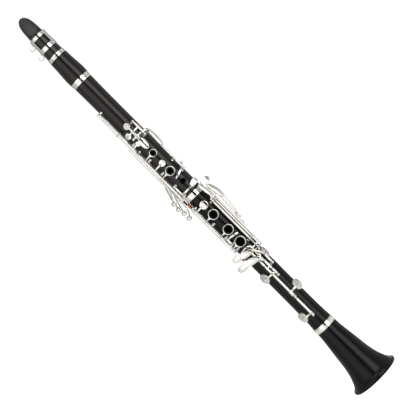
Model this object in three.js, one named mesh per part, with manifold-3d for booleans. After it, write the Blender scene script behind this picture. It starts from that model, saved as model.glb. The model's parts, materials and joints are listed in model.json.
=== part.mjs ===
// A B flat clarinet with its mouthpiece, standing upright on its bell.
// Millimetres. +Z runs up the bore from the bell's rim to the mouthpiece's tip.
// The side with the finger holes faces -Y, and the left-hand little-finger levers are at +X.
// Places on the body are given as (degrees round from -Y towards +X, distance from the bore, height).
import * as THREE from "three";
import { mergeVertices } from "three/addons/utils/BufferGeometryUtils.js";
import Module from "manifold-3d";

const wasm = await Module();
wasm.setup();

// ---- Driving dimensions ----
const GAP = 0.3; // between neighbouring pieces
const BORE = 7.4;
const WOOD = 13.9; // radius of the joints where most of the keys lie
const TIP_Z = 665.5;
const MOUTHPIECE_SHOULDER = 598.2;
const BARREL_BOTTOM = 549.8;
const UPPER_TOP = 545.8;
const MIDDLE_JOINT = 343; // where the upper joint meets the lower joint
const BELL_TOP = 100.5;
const TENON_LENGTH = 17;
const RIM_RADIUS = 35.7;

const ROD = 0.9; // hinge rod radius
const ROD_HOLE = 1.3;
const TUBE = 1.85; // hinge tube radius
const BALL = 2.05; // post head radius
const ARM = 0.95; // key arm radius
const CUP_HEIGHT = 3.3;
const ROUND = 24; // facets round the body

// Hinge lines that run along the body: [degrees, distance from the bore].
const LEFT_LINE = [-56.3, 19.5];
const TRILL_LINE = [-120, 18.3];
const THROAT_LINE = [34.8, 17.5];
const C_SHARP_LINE = [-43.3, 17.2];
const SLIVER_LINE = [52.4, 18];
const LOW_SLIVER_LINE = [-40.8, 17.4];
const THUMB_LINE = [132, 19];
const CENTRE_LINE = [-3.7, 18.54];
const SECOND_LINE = [11.4, 18.77];
const THIRD_LINE = [31.5, 18.5];
const LEVER_LINES = [[35.4, 18.6], [50, 18.6], [66, 18.6]];

// Pads: [degrees, height, cup radius, tone hole radius]. A pad that rests open adds its hinge line
// and how many degrees it is turned about it, away from where it closes.
const PADS = {
  throat_a: [0, 463.7, 4.75, 2.6],
  throat_gs: [-33, 453.2, 4.75, 2.6],
  trill_4: [-22, 437.3, 3.6, 2],
  trill_3: [-90, 436.7, 4.5, 2.4],
  trill_2: [-90, 408.7, 4.5, 2.4],
  trill_1: [-90, 386.7, 4.75, 2.6],
  upper_ring: [-2.8, 397, 4.75, 2.7, LEFT_LINE, -4.5],
  register: [180, 493.7, 4, 1.5],
  eb_bb: [92, 379.2, 4.5, 2.5],
  cs_gs: [-90, 357.5, 4.5, 2.6],
  lower_ring: [-3.9, 320, 6, 3.8, LEFT_LINE, -4.5],
  b_fs: [-90, 262, 4.75, 2.8],
  rh_ab: [66.5, 221, 6.75, 4.2],
  rh_fs: [-62, 194.5, 7.75, 5, SECOND_LINE, 6.5],
  rh_fc: [62, 160, 8.25, 5.5, CENTRE_LINE, -6.5],
  rh_eb: [-65, 123, 8, 5.5, CENTRE_LINE, 8],
};

// Open finger holes: [degrees, height, hole radius, chimney radius, chimney top].
const FINGER_HOLES = [
  [-1, 415, 2.7, 3.35, 16.4],
  [-3.4, 382.7, 3, 4, 16.4],
  [7, 361.5, 3.6, 4.4, 14.8],
  [-3.7, 302.5, 3.8, 4.6, 16.4],
  [-3.7, 275, 3.9, 4.6, 16.4],
  [-3.6, 252.7, 4.2, 5.3, 16.4],
  [180, 403.7, 3.2, 4.9, 16.4],
];

// ---- Geometry helpers ----
const UP = new THREE.Vector3(0, 0, 1);

function at(degrees, distance, z) {
  const angle = THREE.MathUtils.degToRad(degrees);
  return new THREE.Vector3(distance * Math.sin(angle), -distance * Math.cos(angle), z);
}

const xyz = (x, y, z) => new THREE.Vector3(x, y, z);
const outward = (degrees) => at(degrees, 1, 0);

// A closed geometry as a solid with its faces pointing out.
function solid(geometry) {
  const plain = geometry.index ? geometry.toNonIndexed() : geometry;
  const bare = new THREE.BufferGeometry().setAttribute("position", plain.getAttribute("position"));
  const merged = mergeVertices(bare, 1e-4);
  const faces = [];
  for (let i = 0; i < merged.index.count; i += 3) {
    const [a, b, c] = [0, 1, 2].map((k) => merged.index.getX(i + k));
    if (a !== b && b !== c && c !== a) faces.push(a, b, c);
  }
  const made = manifoldOf(merged, faces);
  return made.volume() < 0 ? manifoldOf(merged, faces.reverse()) : made;
}

function manifoldOf(geometry, faces) {
  const vertProperties = geometry.attributes.position.array;
  return new wasm.Manifold(new wasm.Mesh({ numProp: 3, vertProperties, triVerts: new Uint32Array(faces) }));
}

const join = (parts) => parts.reduce((a, b) => a.add(b));

// A profile of [radius, z] points turned about the bore, or about a line through foot.
function turned(profile, facets, foot = xyz(0, 0, 0), direction = UP) {
  const points = profile.map(([radius, z]) => new THREE.Vector2(radius, z));
  const lathe = new THREE.LatheGeometry(points, facets).rotateX(Math.PI / 2);
  const turn = new THREE.Quaternion().setFromUnitVectors(UP, direction.clone().normalize());
  return solid(lathe.applyQuaternion(turn).translate(foot.x, foot.y, foot.z));
}

// A closed tube wall between an outer profile (bottom to top) and an inner one (bottom to top).
function shell(outer, inner, facets = ROUND) {
  return turned([...outer, ...[...inner].reverse(), outer[0]], facets);
}

function rod(from, to, radius, facets = 8) {
  const along = to.clone().sub(from);
  const length = along.length();
  return turned([[0, 0], [radius, 0], [radius, length], [0, length]], facets, from, along);
}

function ball(centre, radius) {
  return solid(new THREE.SphereGeometry(radius, 7, 4).translate(centre.x, centre.y, centre.z));
}

// A round arm along a smooth curve through the points.
function arm(points, radius = ARM) {
  const path = new THREE.CatmullRomCurve3(points, false, "centripetal");
  const section = new THREE.Shape();
  section.absellipse(0, 0, radius, radius, 0, Math.PI * 2);
  const steps = points.length;
  const options = { steps, curveSegments: 3, bevelEnabled: false, extrudePath: path };
  return solid(new THREE.ExtrudeGeometry(section, options));
}

// An oval finger plate: its long way lies along "long", and it faces "facing".
function plate(centre, facing, long, length, width, thickness = 1.6) {
  const outline = new THREE.Shape();
  outline.absellipse(0, 0, length / 2, width / 2, 0, Math.PI * 2);
  const slab = new THREE.ExtrudeGeometry(outline, { depth: thickness, curveSegments: 5, bevelEnabled: false });
  slab.translate(0, 0, -thickness / 2);
  const normal = facing.clone().normalize();
  const side = long.clone().addScaledVector(normal, -long.dot(normal)).normalize();
  const across = normal.clone().cross(side);
  const frame = new THREE.Matrix4().makeBasis(side, across, normal).setPosition(centre);
  return solid(slab.applyMatrix4(frame));
}

// Distance from the bore's axis of the flat seat that a pad of this radius needs.
const seatDistance = (radius) => Math.sqrt(WOOD ** 2 - radius ** 2);

const cupBottom = (key) => seatDistance(PADS[key][2]) + GAP;

// The turn that lifts a pad from where it closes to where it rests.
function restTurn(key) {
  const [, , , , hinge, degrees = 0] = PADS[key];
  const turn = new THREE.Matrix4();
  if (!hinge) return turn;
  const centre = at(...hinge, 0);
  turn.makeRotationZ(THREE.MathUtils.degToRad(degrees));
  const back = new THREE.Matrix4().makeTranslation(-centre.x, -centre.y, 0);
  return turn.premultiply(new THREE.Matrix4().makeTranslation(centre.x, centre.y, 0)).multiply(back);
}

function cup(key) {
  const [degrees, z, radius] = PADS[key];
  const profile = [[0, 0], [radius, 0], [radius, 2], [0, CUP_HEIGHT]];
  const closed = turned(profile, 12, at(degrees, cupBottom(key), z), outward(degrees));
  return closed.transform(restTurn(key).elements);
}

// A point just inside the top of a key's cup, moved round from its middle.
function cupTop(key, round = 0) {
  const [degrees, z] = PADS[key];
  return at(degrees + round, cupBottom(key) + CUP_HEIGHT - 0.6, z).applyMatrix4(restTurn(key));
}

const line = ([degrees, distance], z) => at(degrees, distance, z);
const tube = (hinge, low, high, radius = TUBE) => rod(line(hinge, low), line(hinge, high), radius, 8);

// Takes the room for the hinge rod out of a key.
function bored(key, hinge, low, high) {
  return key.subtract(tube(hinge, low - 1, high + 1, ROD_HOLE));
}

function post(hinge, z) {
  const head = line(hinge, z);
  const foot = at(hinge[0], WOOD + 0.75, z);
  return join([ball(head, BALL), rod(foot, head, 1.25, 6)]);
}

// Posts on one hinge line, joined by the steel rod that their keys turn on.
function hingePosts(hinge, heights) {
  const top = Math.max(...heights);
  const bottom = Math.min(...heights);
  return join([tube(hinge, bottom, top, ROD), ...heights.map((z) => post(hinge, z))]);
}

// A ring for a finger, with the arm that joins it to its hinge tube.
function fingerRing(hinge, degrees, z, outer, inner) {
  const [low, high] = [16.7, 18.3];
  const foot = at(degrees, 0, z);
  const wall = [[inner, low], [outer, low], [outer, high], [inner, high], [inner, low]];
  const ring = turned(wall, 14, foot, outward(degrees));
  const sign = Math.sign(hinge[0] - degrees);
  const edge = at(degrees, 17.5, z).addScaledVector(outward(degrees + 90), sign * (outer - 0.6));
  const knee = at(hinge[0] - sign * 15, 19.6, z);
  return ring.add(arm([line(hinge, z), knee, edge], 1.1));
}

// ---- Materials ----
const wood = new THREE.MeshStandardMaterial({ color: "#1b1412", roughness: 0.34, metalness: 0 });
const ebonite = new THREE.MeshStandardMaterial({ color: "#17181a", roughness: 0.4, metalness: 0 });
const silver = new THREE.MeshStandardMaterial({ color: "#d6d6d2", roughness: 0.16, metalness: 1 });
const cork = new THREE.MeshStandardMaterial({ color: "#b98a5a", roughness: 0.9, metalness: 0 });
const cane = new THREE.MeshStandardMaterial({ color: "#d8c078", roughness: 0.6, metalness: 0 });

const clarinet = new THREE.Group();

function addPiece(name, shape, material) {
  const mesh = shape.getMesh();
  const geometry = new THREE.BufferGeometry();
  geometry.setAttribute("position", new THREE.BufferAttribute(mesh.vertProperties, 3));
  geometry.setIndex(new THREE.BufferAttribute(mesh.triVerts, 1));
  geometry.computeVertexNormals();
  const piece = new THREE.Mesh(geometry, material);
  piece.name = name;
  clarinet.add(piece);
}

// ---- Bell ----
function addBell() {
  const outer = [
    [31.4, 0], [34.6, 0], [RIM_RADIUS, 1.6], [RIM_RADIUS, 4], [34.2, 6], [30, 10], [25.8, 20], [23.1, 30],
    [20.2, 50], [17.7, 70], [15.6, 92.2], [14.6, 92.5], [14.6, BELL_TOP - 0.3],
  ];
  const inner = [[31.4, 0], [25.9, 11], [21.3, 24], [16.4, 43], [10.6, 78], [13.1, 78.2]];
  addPiece("bell", shell(outer, [...inner, [13.1, BELL_TOP - 0.3]]), wood);
  const ring = [[14.9, 92.6], [15.5, 92.6], [15.9, 94], [15.9, 99], [15.4, BELL_TOP]];
  addPiece("bell_ring", shell(ring, [[14.9, 92.6], [14.9, BELL_TOP]]), silver);
  const corkBand = [[12.75, 84], [12.75, 97]];
  addPiece("bell_tenon_cork", shell(corkBand, [[11.9, 84], [11.9, 97]]), cork);
}

// ---- Joints ----
// Cuts a joint's tone holes, pad seats and finger holes, and adds the chimneys.
function withHoles(joint, low, high) {
  const inside = (z) => z > low && z < high;
  let cut = joint;
  for (const [degrees, z, hole, chimney, top] of FINGER_HOLES.filter((entry) => inside(entry[1]))) {
    cut = cut.add(rod(at(degrees, BORE + 2, z), at(degrees, top, z), chimney, 10));
    cut = cut.subtract(rod(at(degrees, BORE - 2, z), at(degrees, top + 1, z), hole, 8));
  }
  for (const [degrees, z, radius, hole] of Object.values(PADS).filter((entry) => inside(entry[1]))) {
    cut = cut.subtract(rod(at(degrees, seatDistance(radius), z), at(degrees, WOOD + 4, z), radius + 0.8, 10));
    cut = cut.subtract(rod(at(degrees, BORE - 2, z), at(degrees, WOOD, z), hole, 6));
  }
  return cut;
}

function addLowerJoint() {
  const foot = BELL_TOP + GAP;
  const outer = [
    [11.6, foot - TENON_LENGTH], [11.6, foot], [15.3, foot + 0.2], [14.9, 105], [14.7, 110], [14, 140],
    [WOOD, 150], [WOOD, 328], [13.9, 335.2], [13.9, MIDDLE_JOINT],
  ];
  const socket = MIDDLE_JOINT - TENON_LENGTH;
  const inner = [[9.4, foot - TENON_LENGTH], [BORE, 150], [BORE, socket], [11.9, socket], [11.9, MIDDLE_JOINT]];
  addPiece("lower_joint", withHoles(shell(outer, inner), 105, MIDDLE_JOINT - 5), wood);
  const ring = [[14.25, 335.5], [14.75, 335.5], [14.75, MIDDLE_JOINT]];
  addPiece("lower_socket_ring", shell(ring, [[14.25, 335.5], [14.25, MIDDLE_JOINT]]), silver);
}

function addUpperJoint() {
  const foot = MIDDLE_JOINT + GAP;
  const top = UPPER_TOP + 0.3;
  const outer = [
    [10.6, foot - TENON_LENGTH + 0.6], [10.6, foot], [14.3, foot + 0.1], [14.2, 398.7], [WOOD, 438.7],
    [WOOD, 508.7], [14.3, UPPER_TOP], [10.7, top], [10.7, top + TENON_LENGTH],
  ];
  const inner = [[BORE, foot - TENON_LENGTH + 0.6], [BORE, top + TENON_LENGTH]];
  addPiece("upper_joint", withHoles(shell(outer, inner), foot, UPPER_TOP), wood);
  const ring = [[11.1, top], [14.7, top], [14.7, BARREL_BOTTOM - GAP]];
  addPiece("upper_joint_ring", shell(ring, [[11.1, top], [11.1, BARREL_BOTTOM - GAP]]), silver);
  const middle = [foot - TENON_LENGTH + 3, foot - 3];
  addPiece("middle_tenon_cork", corkSleeve(middle, 10.9, 11.6), cork);
  const upper = [BARREL_BOTTOM + 1.5, top + TENON_LENGTH - 2];
  addPiece("upper_tenon_cork", corkSleeve(upper, 11, 11.6), cork);
}

function corkSleeve([low, high], inner, outer) {
  return shell([[outer, low], [outer, high]], [[inner, low], [inner, high]]);
}

// ---- Barrel, mouthpiece, reed and ligature ----
function addBarrel() {
  const socketTop = UPPER_TOP + TENON_LENGTH + 2;
  const outer = [
    [14.3, BARREL_BOTTOM], [14.3, 553.5], [15.05, 553.7], [15.3, 562.3], [14, 583.3], [13.7, 592.2],
    [12.9, 592.4], [12.9, MOUTHPIECE_SHOULDER - 0.6],
  ];
  const mouthSocket = MOUTHPIECE_SHOULDER - TENON_LENGTH - 1;
  const inner = [
    [11.9, BARREL_BOTTOM], [11.9, socketTop], [BORE, socketTop], [BORE, mouthSocket],
    [11.6, mouthSocket], [11.6, MOUTHPIECE_SHOULDER - 0.6],
  ];
  addPiece("barrel", shell(outer, inner), wood);
  const lower = [[14.6, BARREL_BOTTOM], [15, BARREL_BOTTOM], [15, 553.3], [14.6, 553.3], [14.6, BARREL_BOTTOM]];
  addPiece("barrel_lower_ring", turned(lower, ROUND), silver);
  const upper = [[13.2, 592.6], [13.9, 592.6], [13.5, 597.9], [13.2, 597.9], [13.2, 592.6]];
  addPiece("barrel_upper_ring", turned(upper, ROUND), silver);
}

const BEAK_FOOT = 635.6; // where the beak's slope starts
// The beak's outline seen from the front: [half width, height].
const BEAK_OUTLINE = [
  [20, 560], [12.6, 628], [10.5, 644], [10, 650], [9.1, 655], [8.2, 658], [7.1, 660.5], [5.9, 662.3],
  [4.7, 663.6], [3.4, 664.6], [1.6, 665.4],
];

// Everything within the beak's outline, narrower by inset on each side.
function beakPrism(inset) {
  const side = (sign) => BEAK_OUTLINE.map(([x, z]) => new THREE.Vector2(sign * (x - inset), z));
  const outline = new THREE.Shape([...side(1), new THREE.Vector2(0, TIP_Z), ...side(-1).reverse()]);
  const slab = new THREE.ExtrudeGeometry(outline, { depth: 60, bevelEnabled: false });
  return solid(slab.rotateX(Math.PI / 2).translate(0, 30, 0));
}

function addMouthpiece() {
  const tenon = MOUTHPIECE_SHOULDER - TENON_LENGTH;
  const profile = [
    [0, tenon], [10.4, tenon], [10.4, MOUTHPIECE_SHOULDER], [12.7, MOUTHPIECE_SHOULDER + 0.1],
    [12.6, 601.2], [11.9, 614], [11.2, 633], [10.9, 642], [10.7, TIP_Z], [0, TIP_Z],
  ];
  let body = turned(profile, ROUND);
  // The sloping beak, the flat table that the reed lies on, and the rounded tip.
  const slope = new THREE.Shape([[-30, BEAK_FOOT], [-11, BEAK_FOOT], [5.6, TIP_Z + 0.5], [5.6, 700], [-30, 700]]
    .map(([y, z]) => new THREE.Vector2(y, z)));
  body = body.subtract(extrudedAcross(slope, 40));
  const table = new THREE.Shape([[7.6, 598.6], [30, 598.6], [30, 700], [7.6, 700]]
    .map(([y, z]) => new THREE.Vector2(y, z)));
  body = body.subtract(extrudedAcross(table, 40));
  body = body.intersect(beakPrism(0));
  const chamber = rod(xyz(0, 0, tenon - 1), xyz(0, 0, 622), BORE, 20);
  const window = solid(new THREE.BoxGeometry(11, 8, 44).translate(0, 6, 639));
  addPiece("mouthpiece", body.subtract(chamber).subtract(window), ebonite);
  addPiece("mouthpiece_cork", corkSleeve([tenon + 2, MOUTHPIECE_SHOULDER - 2.5], 10.7, 11.3), cork);
  // Reed: full thickness at the heel, a long vamp to a thin tip.
  const reedSide = new THREE.Shape([[7.9, 601.2], [10.3, 601.2], [10.3, 632], [8.4, 664.6], [7.9, 664.6]]
    .map(([y, z]) => new THREE.Vector2(y, z)));
  addPiece("reed", extrudedAcross(reedSide, 12).intersect(beakPrism(0.3)), cane);
}

// An outline in the plane of Y and Z, extruded along X about the middle.
function extrudedAcross(shape, width) {
  const slab = new THREE.ExtrudeGeometry(shape, { depth: width, bevelEnabled: false });
  slab.translate(0, 0, -width / 2);
  const turn = new THREE.Matrix4().makeBasis(xyz(0, 1, 0), xyz(0, 0, 1), xyz(1, 0, 0));
  return solid(slab.applyMatrix4(turn));
}

const LIGATURE_SCREWS = { ligature_screw_lower: 610.5, ligature_screw_upper: 627.3 };
const SCREW_Y = 16.4;

function addLigature() {
  const [low, high] = [605.7, 632.7];
  let band = shell([[13.3, low], [12.9, high]], [[12.55, low], [12.35, high]]);
  const window = new THREE.BoxGeometry(18.5, 20, 13.5).translate(0.7, -14, 621.2);
  band = band.subtract(solid(window));
  band = band.subtract(solid(new THREE.BoxGeometry(4, 12, 60).translate(0, 12, 620)));
  for (const z of Object.values(LIGATURE_SCREWS)) {
    for (const x of [-3.6, 3.6]) {
      band = band.add(solid(new THREE.BoxGeometry(2.2, 7.2, 5).translate(x, SCREW_Y - 1.5, z)));
    }
    band = band.subtract(rod(xyz(-9, SCREW_Y, z), xyz(9, SCREW_Y, z), 1.4, 12));
  }
  addPiece("ligature_band", band, silver);
  for (const [name, z] of Object.entries(LIGATURE_SCREWS)) {
    const shank = rod(xyz(-13, SCREW_Y, z), xyz(6.5, SCREW_Y, z), 1.05, 10);
    const head = rod(xyz(-16.2, SCREW_Y - 1.3, z), xyz(-16.2, SCREW_Y + 1.3, z), 4.3, 24);
    addPiece(name, shank.add(head), silver);
  }
}

// ---- Posts and hinge rods ----
function addPosts() {
  addPiece("left_upper_posts", hingePosts(LEFT_LINE, [345, 428.7, 500.7]), silver);
  addPiece("trill_posts", hingePosts(TRILL_LINE, [374.7, 397.9, 422.7, 449]), silver);
  addPiece("throat_gs_posts", hingePosts(THROAT_LINE, [440.3, 463]), silver);
  addPiece("cs_gs_posts", hingePosts(C_SHARP_LINE, [346.6, 364]), silver);
  addPiece("eb_bb_posts", hingePosts(SLIVER_LINE, [372.4, 391]), silver);
  addPiece("thumb_ring_posts", hingePosts(THUMB_LINE, [393.7, 413.7]), silver);
  addPiece("left_lower_posts", hingePosts(LEFT_LINE, [247.6, 324.6]), silver);
  addPiece("b_fs_posts", hingePosts(LOW_SLIVER_LINE, [257, 269]), silver);
  addPiece("rh_ab_posts", hingePosts(THIRD_LINE, [204, 222.9]), silver);
  addPiece("throat_a_posts", acrossPosts(A_AXIS_Y, A_AXIS_Z, -1), silver);
  addPiece("register_posts", acrossPosts(REGISTER_AXIS_Y, REGISTER_AXIS_Z, 1), silver);
  addPiece("centre_post_end", boredPost([CENTRE_LINE], 118), silver);
  addPiece("centre_post_middle", boredPost([CENTRE_LINE], 151), silver);
  addPiece("second_post_end", boredPost([SECOND_LINE], 187.4), silver);
  addPiece("double_post", boredPost([CENTRE_LINE, SECOND_LINE], 217.3), silver);
  addPiece("centre_post_top", boredPost([CENTRE_LINE], 236.8), silver);
  addPiece("lever_posts_lower", boredPost(LEVER_LINES, 247), silver);
  addPiece("lever_posts_upper", boredPost(LEVER_LINES, 316), silver);
  addPiece("trill_guide", trillGuide(464.2), silver);
}

const A_AXIS_Y = 18.3;
const A_AXIS_Z = 445.3;
const REGISTER_AXIS_Y = 18.3;
const REGISTER_AXIS_Z = 460.7;

// Two posts with a short rod across the body. side is -1 on the front and 1 on the back.
function acrossPosts(distance, z, side) {
  const y = side * distance;
  const parts = [rod(xyz(-6, y, z), xyz(6, y, z), ROD)];
  for (const x of [-6, 6]) {
    const foot = side * (Math.sqrt(WOOD ** 2 - x ** 2) + 0.9);
    parts.push(ball(xyz(x, y, z), 1.9), rod(xyz(x, foot, z), xyz(x, y, z), 1.2, 8));
  }
  return join(parts);
}

// Posts side by side, each with a hole that a key's own rod turns in.
function boredPost(hinges, z) {
  const parts = hinges.map((hinge) => post(hinge, z));
  for (let i = 1; i < hinges.length; i += 1) {
    const middle = at((hinges[i - 1][0] + hinges[i][0]) / 2, 16.8, z);
    parts.push(arm([at(hinges[i - 1][0], 16.8, z), middle, at(hinges[i][0], 16.8, z)], 0.9));
  }
  return hinges.reduce((body, hinge) => bored(body, hinge, z - 3, z + 3), join(parts));
}

// A fork that steadies the long trill tube between its end posts.
function trillGuide(z) {
  const [degrees, distance] = LEFT_LINE;
  const sideways = outward(degrees + 90);
  const parts = [rod(at(degrees, WOOD + 0.75, z), at(degrees, 16.9, z), 1.2, 8)];
  const yoke = [-1, 1].map((sign) => at(degrees, 16.4, z).addScaledVector(sideways, 3.5 * sign));
  parts.push(rod(yoke[0], yoke[1], 0.8, 8));
  for (const foot of yoke) {
    const head = foot.clone().addScaledVector(outward(degrees), distance + 0.4 - 16.4);
    parts.push(rod(foot, head, 0.8, 8), ball(head, 1.3));
  }
  return join(parts);
}

// ---- Keys of the upper joint ----
function addThroatKeys() {
  const y = -A_AXIS_Y;
  const a = join([
    rod(xyz(-3.6, y, A_AXIS_Z), xyz(3.6, y, A_AXIS_Z), 1.9, 12),
    arm([xyz(0, -20.6, 434.7), xyz(0, -20.3, A_AXIS_Z), xyz(0, -20.4, 455.7), xyz(0, -20, 463.7)], 1),
    rod(cupTop("throat_a"), xyz(0, -20.2, 463.7), 1.3),
    cup("throat_a"),
    plate(xyz(0, -20.9, 432.3), xyz(0, -1, -0.05), UP, 17.5, 9),
  ]);
  addPiece("throat_a_key", a.subtract(rod(xyz(-5, y, A_AXIS_Z), xyz(5, y, A_AXIS_Z), ROD_HOLE, 12)), silver);
  const z = PADS.throat_gs[1];
  const gs = join([
    tube(THROAT_LINE, 442.7, 460.6),
    arm([line(THROAT_LINE, z), at(17, 16.5, z), at(0, 16.4, z), at(-20, 16.5, z), cupTop("throat_gs")], 0.8),
    cup("throat_gs"),
    arm([line(THROAT_LINE, 444.7), at(50, 19.6, 443.7), at(62, 19.4, 440.5), at(70, 18.2, 434)]),
    plate(xyz(16.7, -5.6, 429.6), outward(50), UP, 32, 8.2),
  ]);
  addPiece("throat_gs_key", bored(gs, THROAT_LINE, 442.7, 460.6), silver);
}

function addRegisterKey() {
  const y = REGISTER_AXIS_Y;
  const key = join([
    rod(xyz(-3.6, y, REGISTER_AXIS_Z), xyz(3.6, y, REGISTER_AXIS_Z), 1.9, 12),
    arm([xyz(0, 20.4, 436.7), xyz(0, 20.3, REGISTER_AXIS_Z), xyz(0, 20.3, 478.7), xyz(0, 18.6, 493.7)], 1),
    rod(cupTop("register"), xyz(0, 19, 493.7), 1.2),
    cup("register"),
    plate(xyz(0, 20.6, 434.7), xyz(0, 1, 0), UP, 20, 8.5),
  ]);
  const hole = rod(xyz(-5, y, REGISTER_AXIS_Z), xyz(5, y, REGISTER_AXIS_Z), ROD_HOLE, 12);
  addPiece("register_key", key.subtract(hole), silver);
}

function addUpperRingKeys() {
  const z = PADS.upper_ring[1];
  const rings = join([
    tube(LEFT_LINE, 347.4, 426.3),
    fingerRing(LEFT_LINE, -1, 415, 5.5, 4.15),
    fingerRing(LEFT_LINE, -3.4, 382.7, 6.6, 4.9),
    arm([line(LEFT_LINE, z), at(-38, 19.2, z), at(-18, 18.6, z), cupTop("upper_ring")]),
    cup("upper_ring"),
    arm([line(LEFT_LINE, 351), at(-66, 21.4, 348), at(-67, 21.4, 342.5), xyz(-18, -11.2, 340.4)], 0.9),
    solid(new THREE.BoxGeometry(3.2, 1, 7.6).translate(-16.6, -11.75, 338.7)),
  ]);
  addPiece("upper_ring_key", bored(rings, LEFT_LINE, 347.4, 426.3), silver);
  const thumb = join([
    tube(THUMB_LINE, 396.1, 411.3),
    fingerRing(THUMB_LINE, 180, 403.7, 7.3, 5.8),
  ]);
  addPiece("thumb_ring_key", bored(thumb, THUMB_LINE, 396.1, 411.3), silver);
}

function addCrossKeys() {
  const z = PADS.cs_gs[1];
  const csGs = join([
    tube(C_SHARP_LINE, 348.9, 361.7, 1.6),
    arm([line(C_SHARP_LINE, z), at(-58, 15.7, z), at(-73, 15.9, z), cupTop("cs_gs", 8)], 0.75),
    cup("cs_gs"),
    arm([line(C_SHARP_LINE, 350), at(-22, 19.7, 349), at(0, 20.3, 349), at(22, 20.5, 350.3)]),
    plate(at(28, 20.7, 350.8), outward(28), outward(118).add(xyz(0, 0, 0.15)), 15.5, 8.6),
  ]);
  addPiece("cs_gs_key", bored(csGs, C_SHARP_LINE, 348.9, 361.7), silver);
  const ebBb = join([
    tube(SLIVER_LINE, 374.8, 388.6, 1.6),
    arm([line(SLIVER_LINE, 376.3), at(33, 19.6, 374.3), at(10, 19.5, 371.9), at(-6, 19.1, 370.3)], 0.9),
    arm([line(SLIVER_LINE, 380.7), at(68, 19.2, 380.7), at(84, 18.2, 379.7), cupTop("eb_bb")], 0.9),
    cup("eb_bb"),
  ]);
  addPiece("eb_bb_key", bored(ebBb, SLIVER_LINE, 374.8, 388.6), silver);
}

// Trill keys: hinge tube, pad arm, and a lever that runs down its own lane to its touch.
function addTrillKeys() {
  const facing = xyz(-0.35, -1, 0);
  const across = xyz(-1, 0.3, 0.1);
  const four = join([
    tube(LEFT_LINE, 431.1, 498.3),
    arm([line(LEFT_LINE, 437.3), at(-42, 18.4, 437.3), at(-32, 17.2, 437.3), cupTop("trill_4")], 0.9),
    cup("trill_4"),
    arm([line(LEFT_LINE, 437.7), at(-62, 22.4, 435.7), at(-62, 22.5, 398.7), at(-62, 22.5, 368),
      xyz(-22.5, -7, 359), xyz(-27, -2.4, 351)], 0.9),
    plate(xyz(-28.2, -1, 348.2), facing, across, 7, 7, 1.8),
  ]);
  addPiece("trill_4_key", bored(four, LEFT_LINE, 431.1, 498.3), silver);
  const keys = {
    trill_3: {
      low: 425.1, high: 446.6, lane: [-137, 20.9], out: 390.7,
      route: [at(-135, 24, 382.7), at(-113, 27.4, 359)], end: xyz(-28.8, 1.4, 339),
    },
    trill_2: {
      low: 400.3, high: 420.3, lane: [-126.5, 20.9], out: 368,
      route: [at(-113.5, 23.6, 352)], end: xyz(-27.2, 1.4, 330.4),
    },
    trill_1: {
      low: 377.1, high: 395.5, lane: [-114, 21], out: 360,
      route: [at(-102, 21.2, 331)], end: xyz(-27, 1.2, 321),
    },
  };
  for (const [name, { low, high, lane, out, route, end }] of Object.entries(keys)) {
    const z = PADS[name][1];
    const key = join([
      tube(TRILL_LINE, low, high),
      arm([line(TRILL_LINE, z), at(-105, 19.6, z), cupTop(name)], 0.9),
      cup(name),
      arm([line(TRILL_LINE, low + 7), line(lane, low + 3), line(lane, out), ...route, end], 0.85),
      plate(end, facing, across, 7, 7, 1.8),
    ]);
    addPiece(name + "_key", bored(key, TRILL_LINE, low, high), silver);
  }
}

// ---- Keys of the lower joint ----
function addLowerRingKeys() {
  const z = PADS.lower_ring[1];
  const rings = join([
    tube(LEFT_LINE, 250, 322.2),
    fingerRing(LEFT_LINE, -3.7, 302.5, 7.2, 5.5),
    fingerRing(LEFT_LINE, -3.7, 275, 7.3, 5.5),
    fingerRing(LEFT_LINE, -3.6, 252.7, 7.7, 6.3),
    arm([line(LEFT_LINE, z), at(-38, 19.2, z), at(-18, 18.6, z), cupTop("lower_ring")]),
    cup("lower_ring"),
    arm([line(LEFT_LINE, 318), at(-66, 19.2, 321), at(-67, 18.8, 327), xyz(-16.6, -9.8, 331)], 0.85),
    solid(new THREE.BoxGeometry(5, 0.9, 8.4).translate(-15.3, -10.45, 331.8)),
  ]);
  addPiece("lower_ring_key", bored(rings, LEFT_LINE, 250, 322.2), silver);
  const low = PADS.b_fs[1];
  const bFs = join([
    tube(LOW_SLIVER_LINE, 259.2, 266.8, 1.6),
    arm([line(LOW_SLIVER_LINE, low), at(-57, 15.6, low), at(-72, 15.8, low), cupTop("b_fs", 8)], 0.75),
    cup("b_fs"),
    arm([line(LOW_SLIVER_LINE, 265.4), at(-20, 19, 265.6), at(0, 19.3, 264.5), at(14, 18.9, 263.4)], 0.85),
  ]);
  addPiece("b_fs_key", bored(bFs, LOW_SLIVER_LINE, 259.2, 266.8), silver);
}

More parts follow.
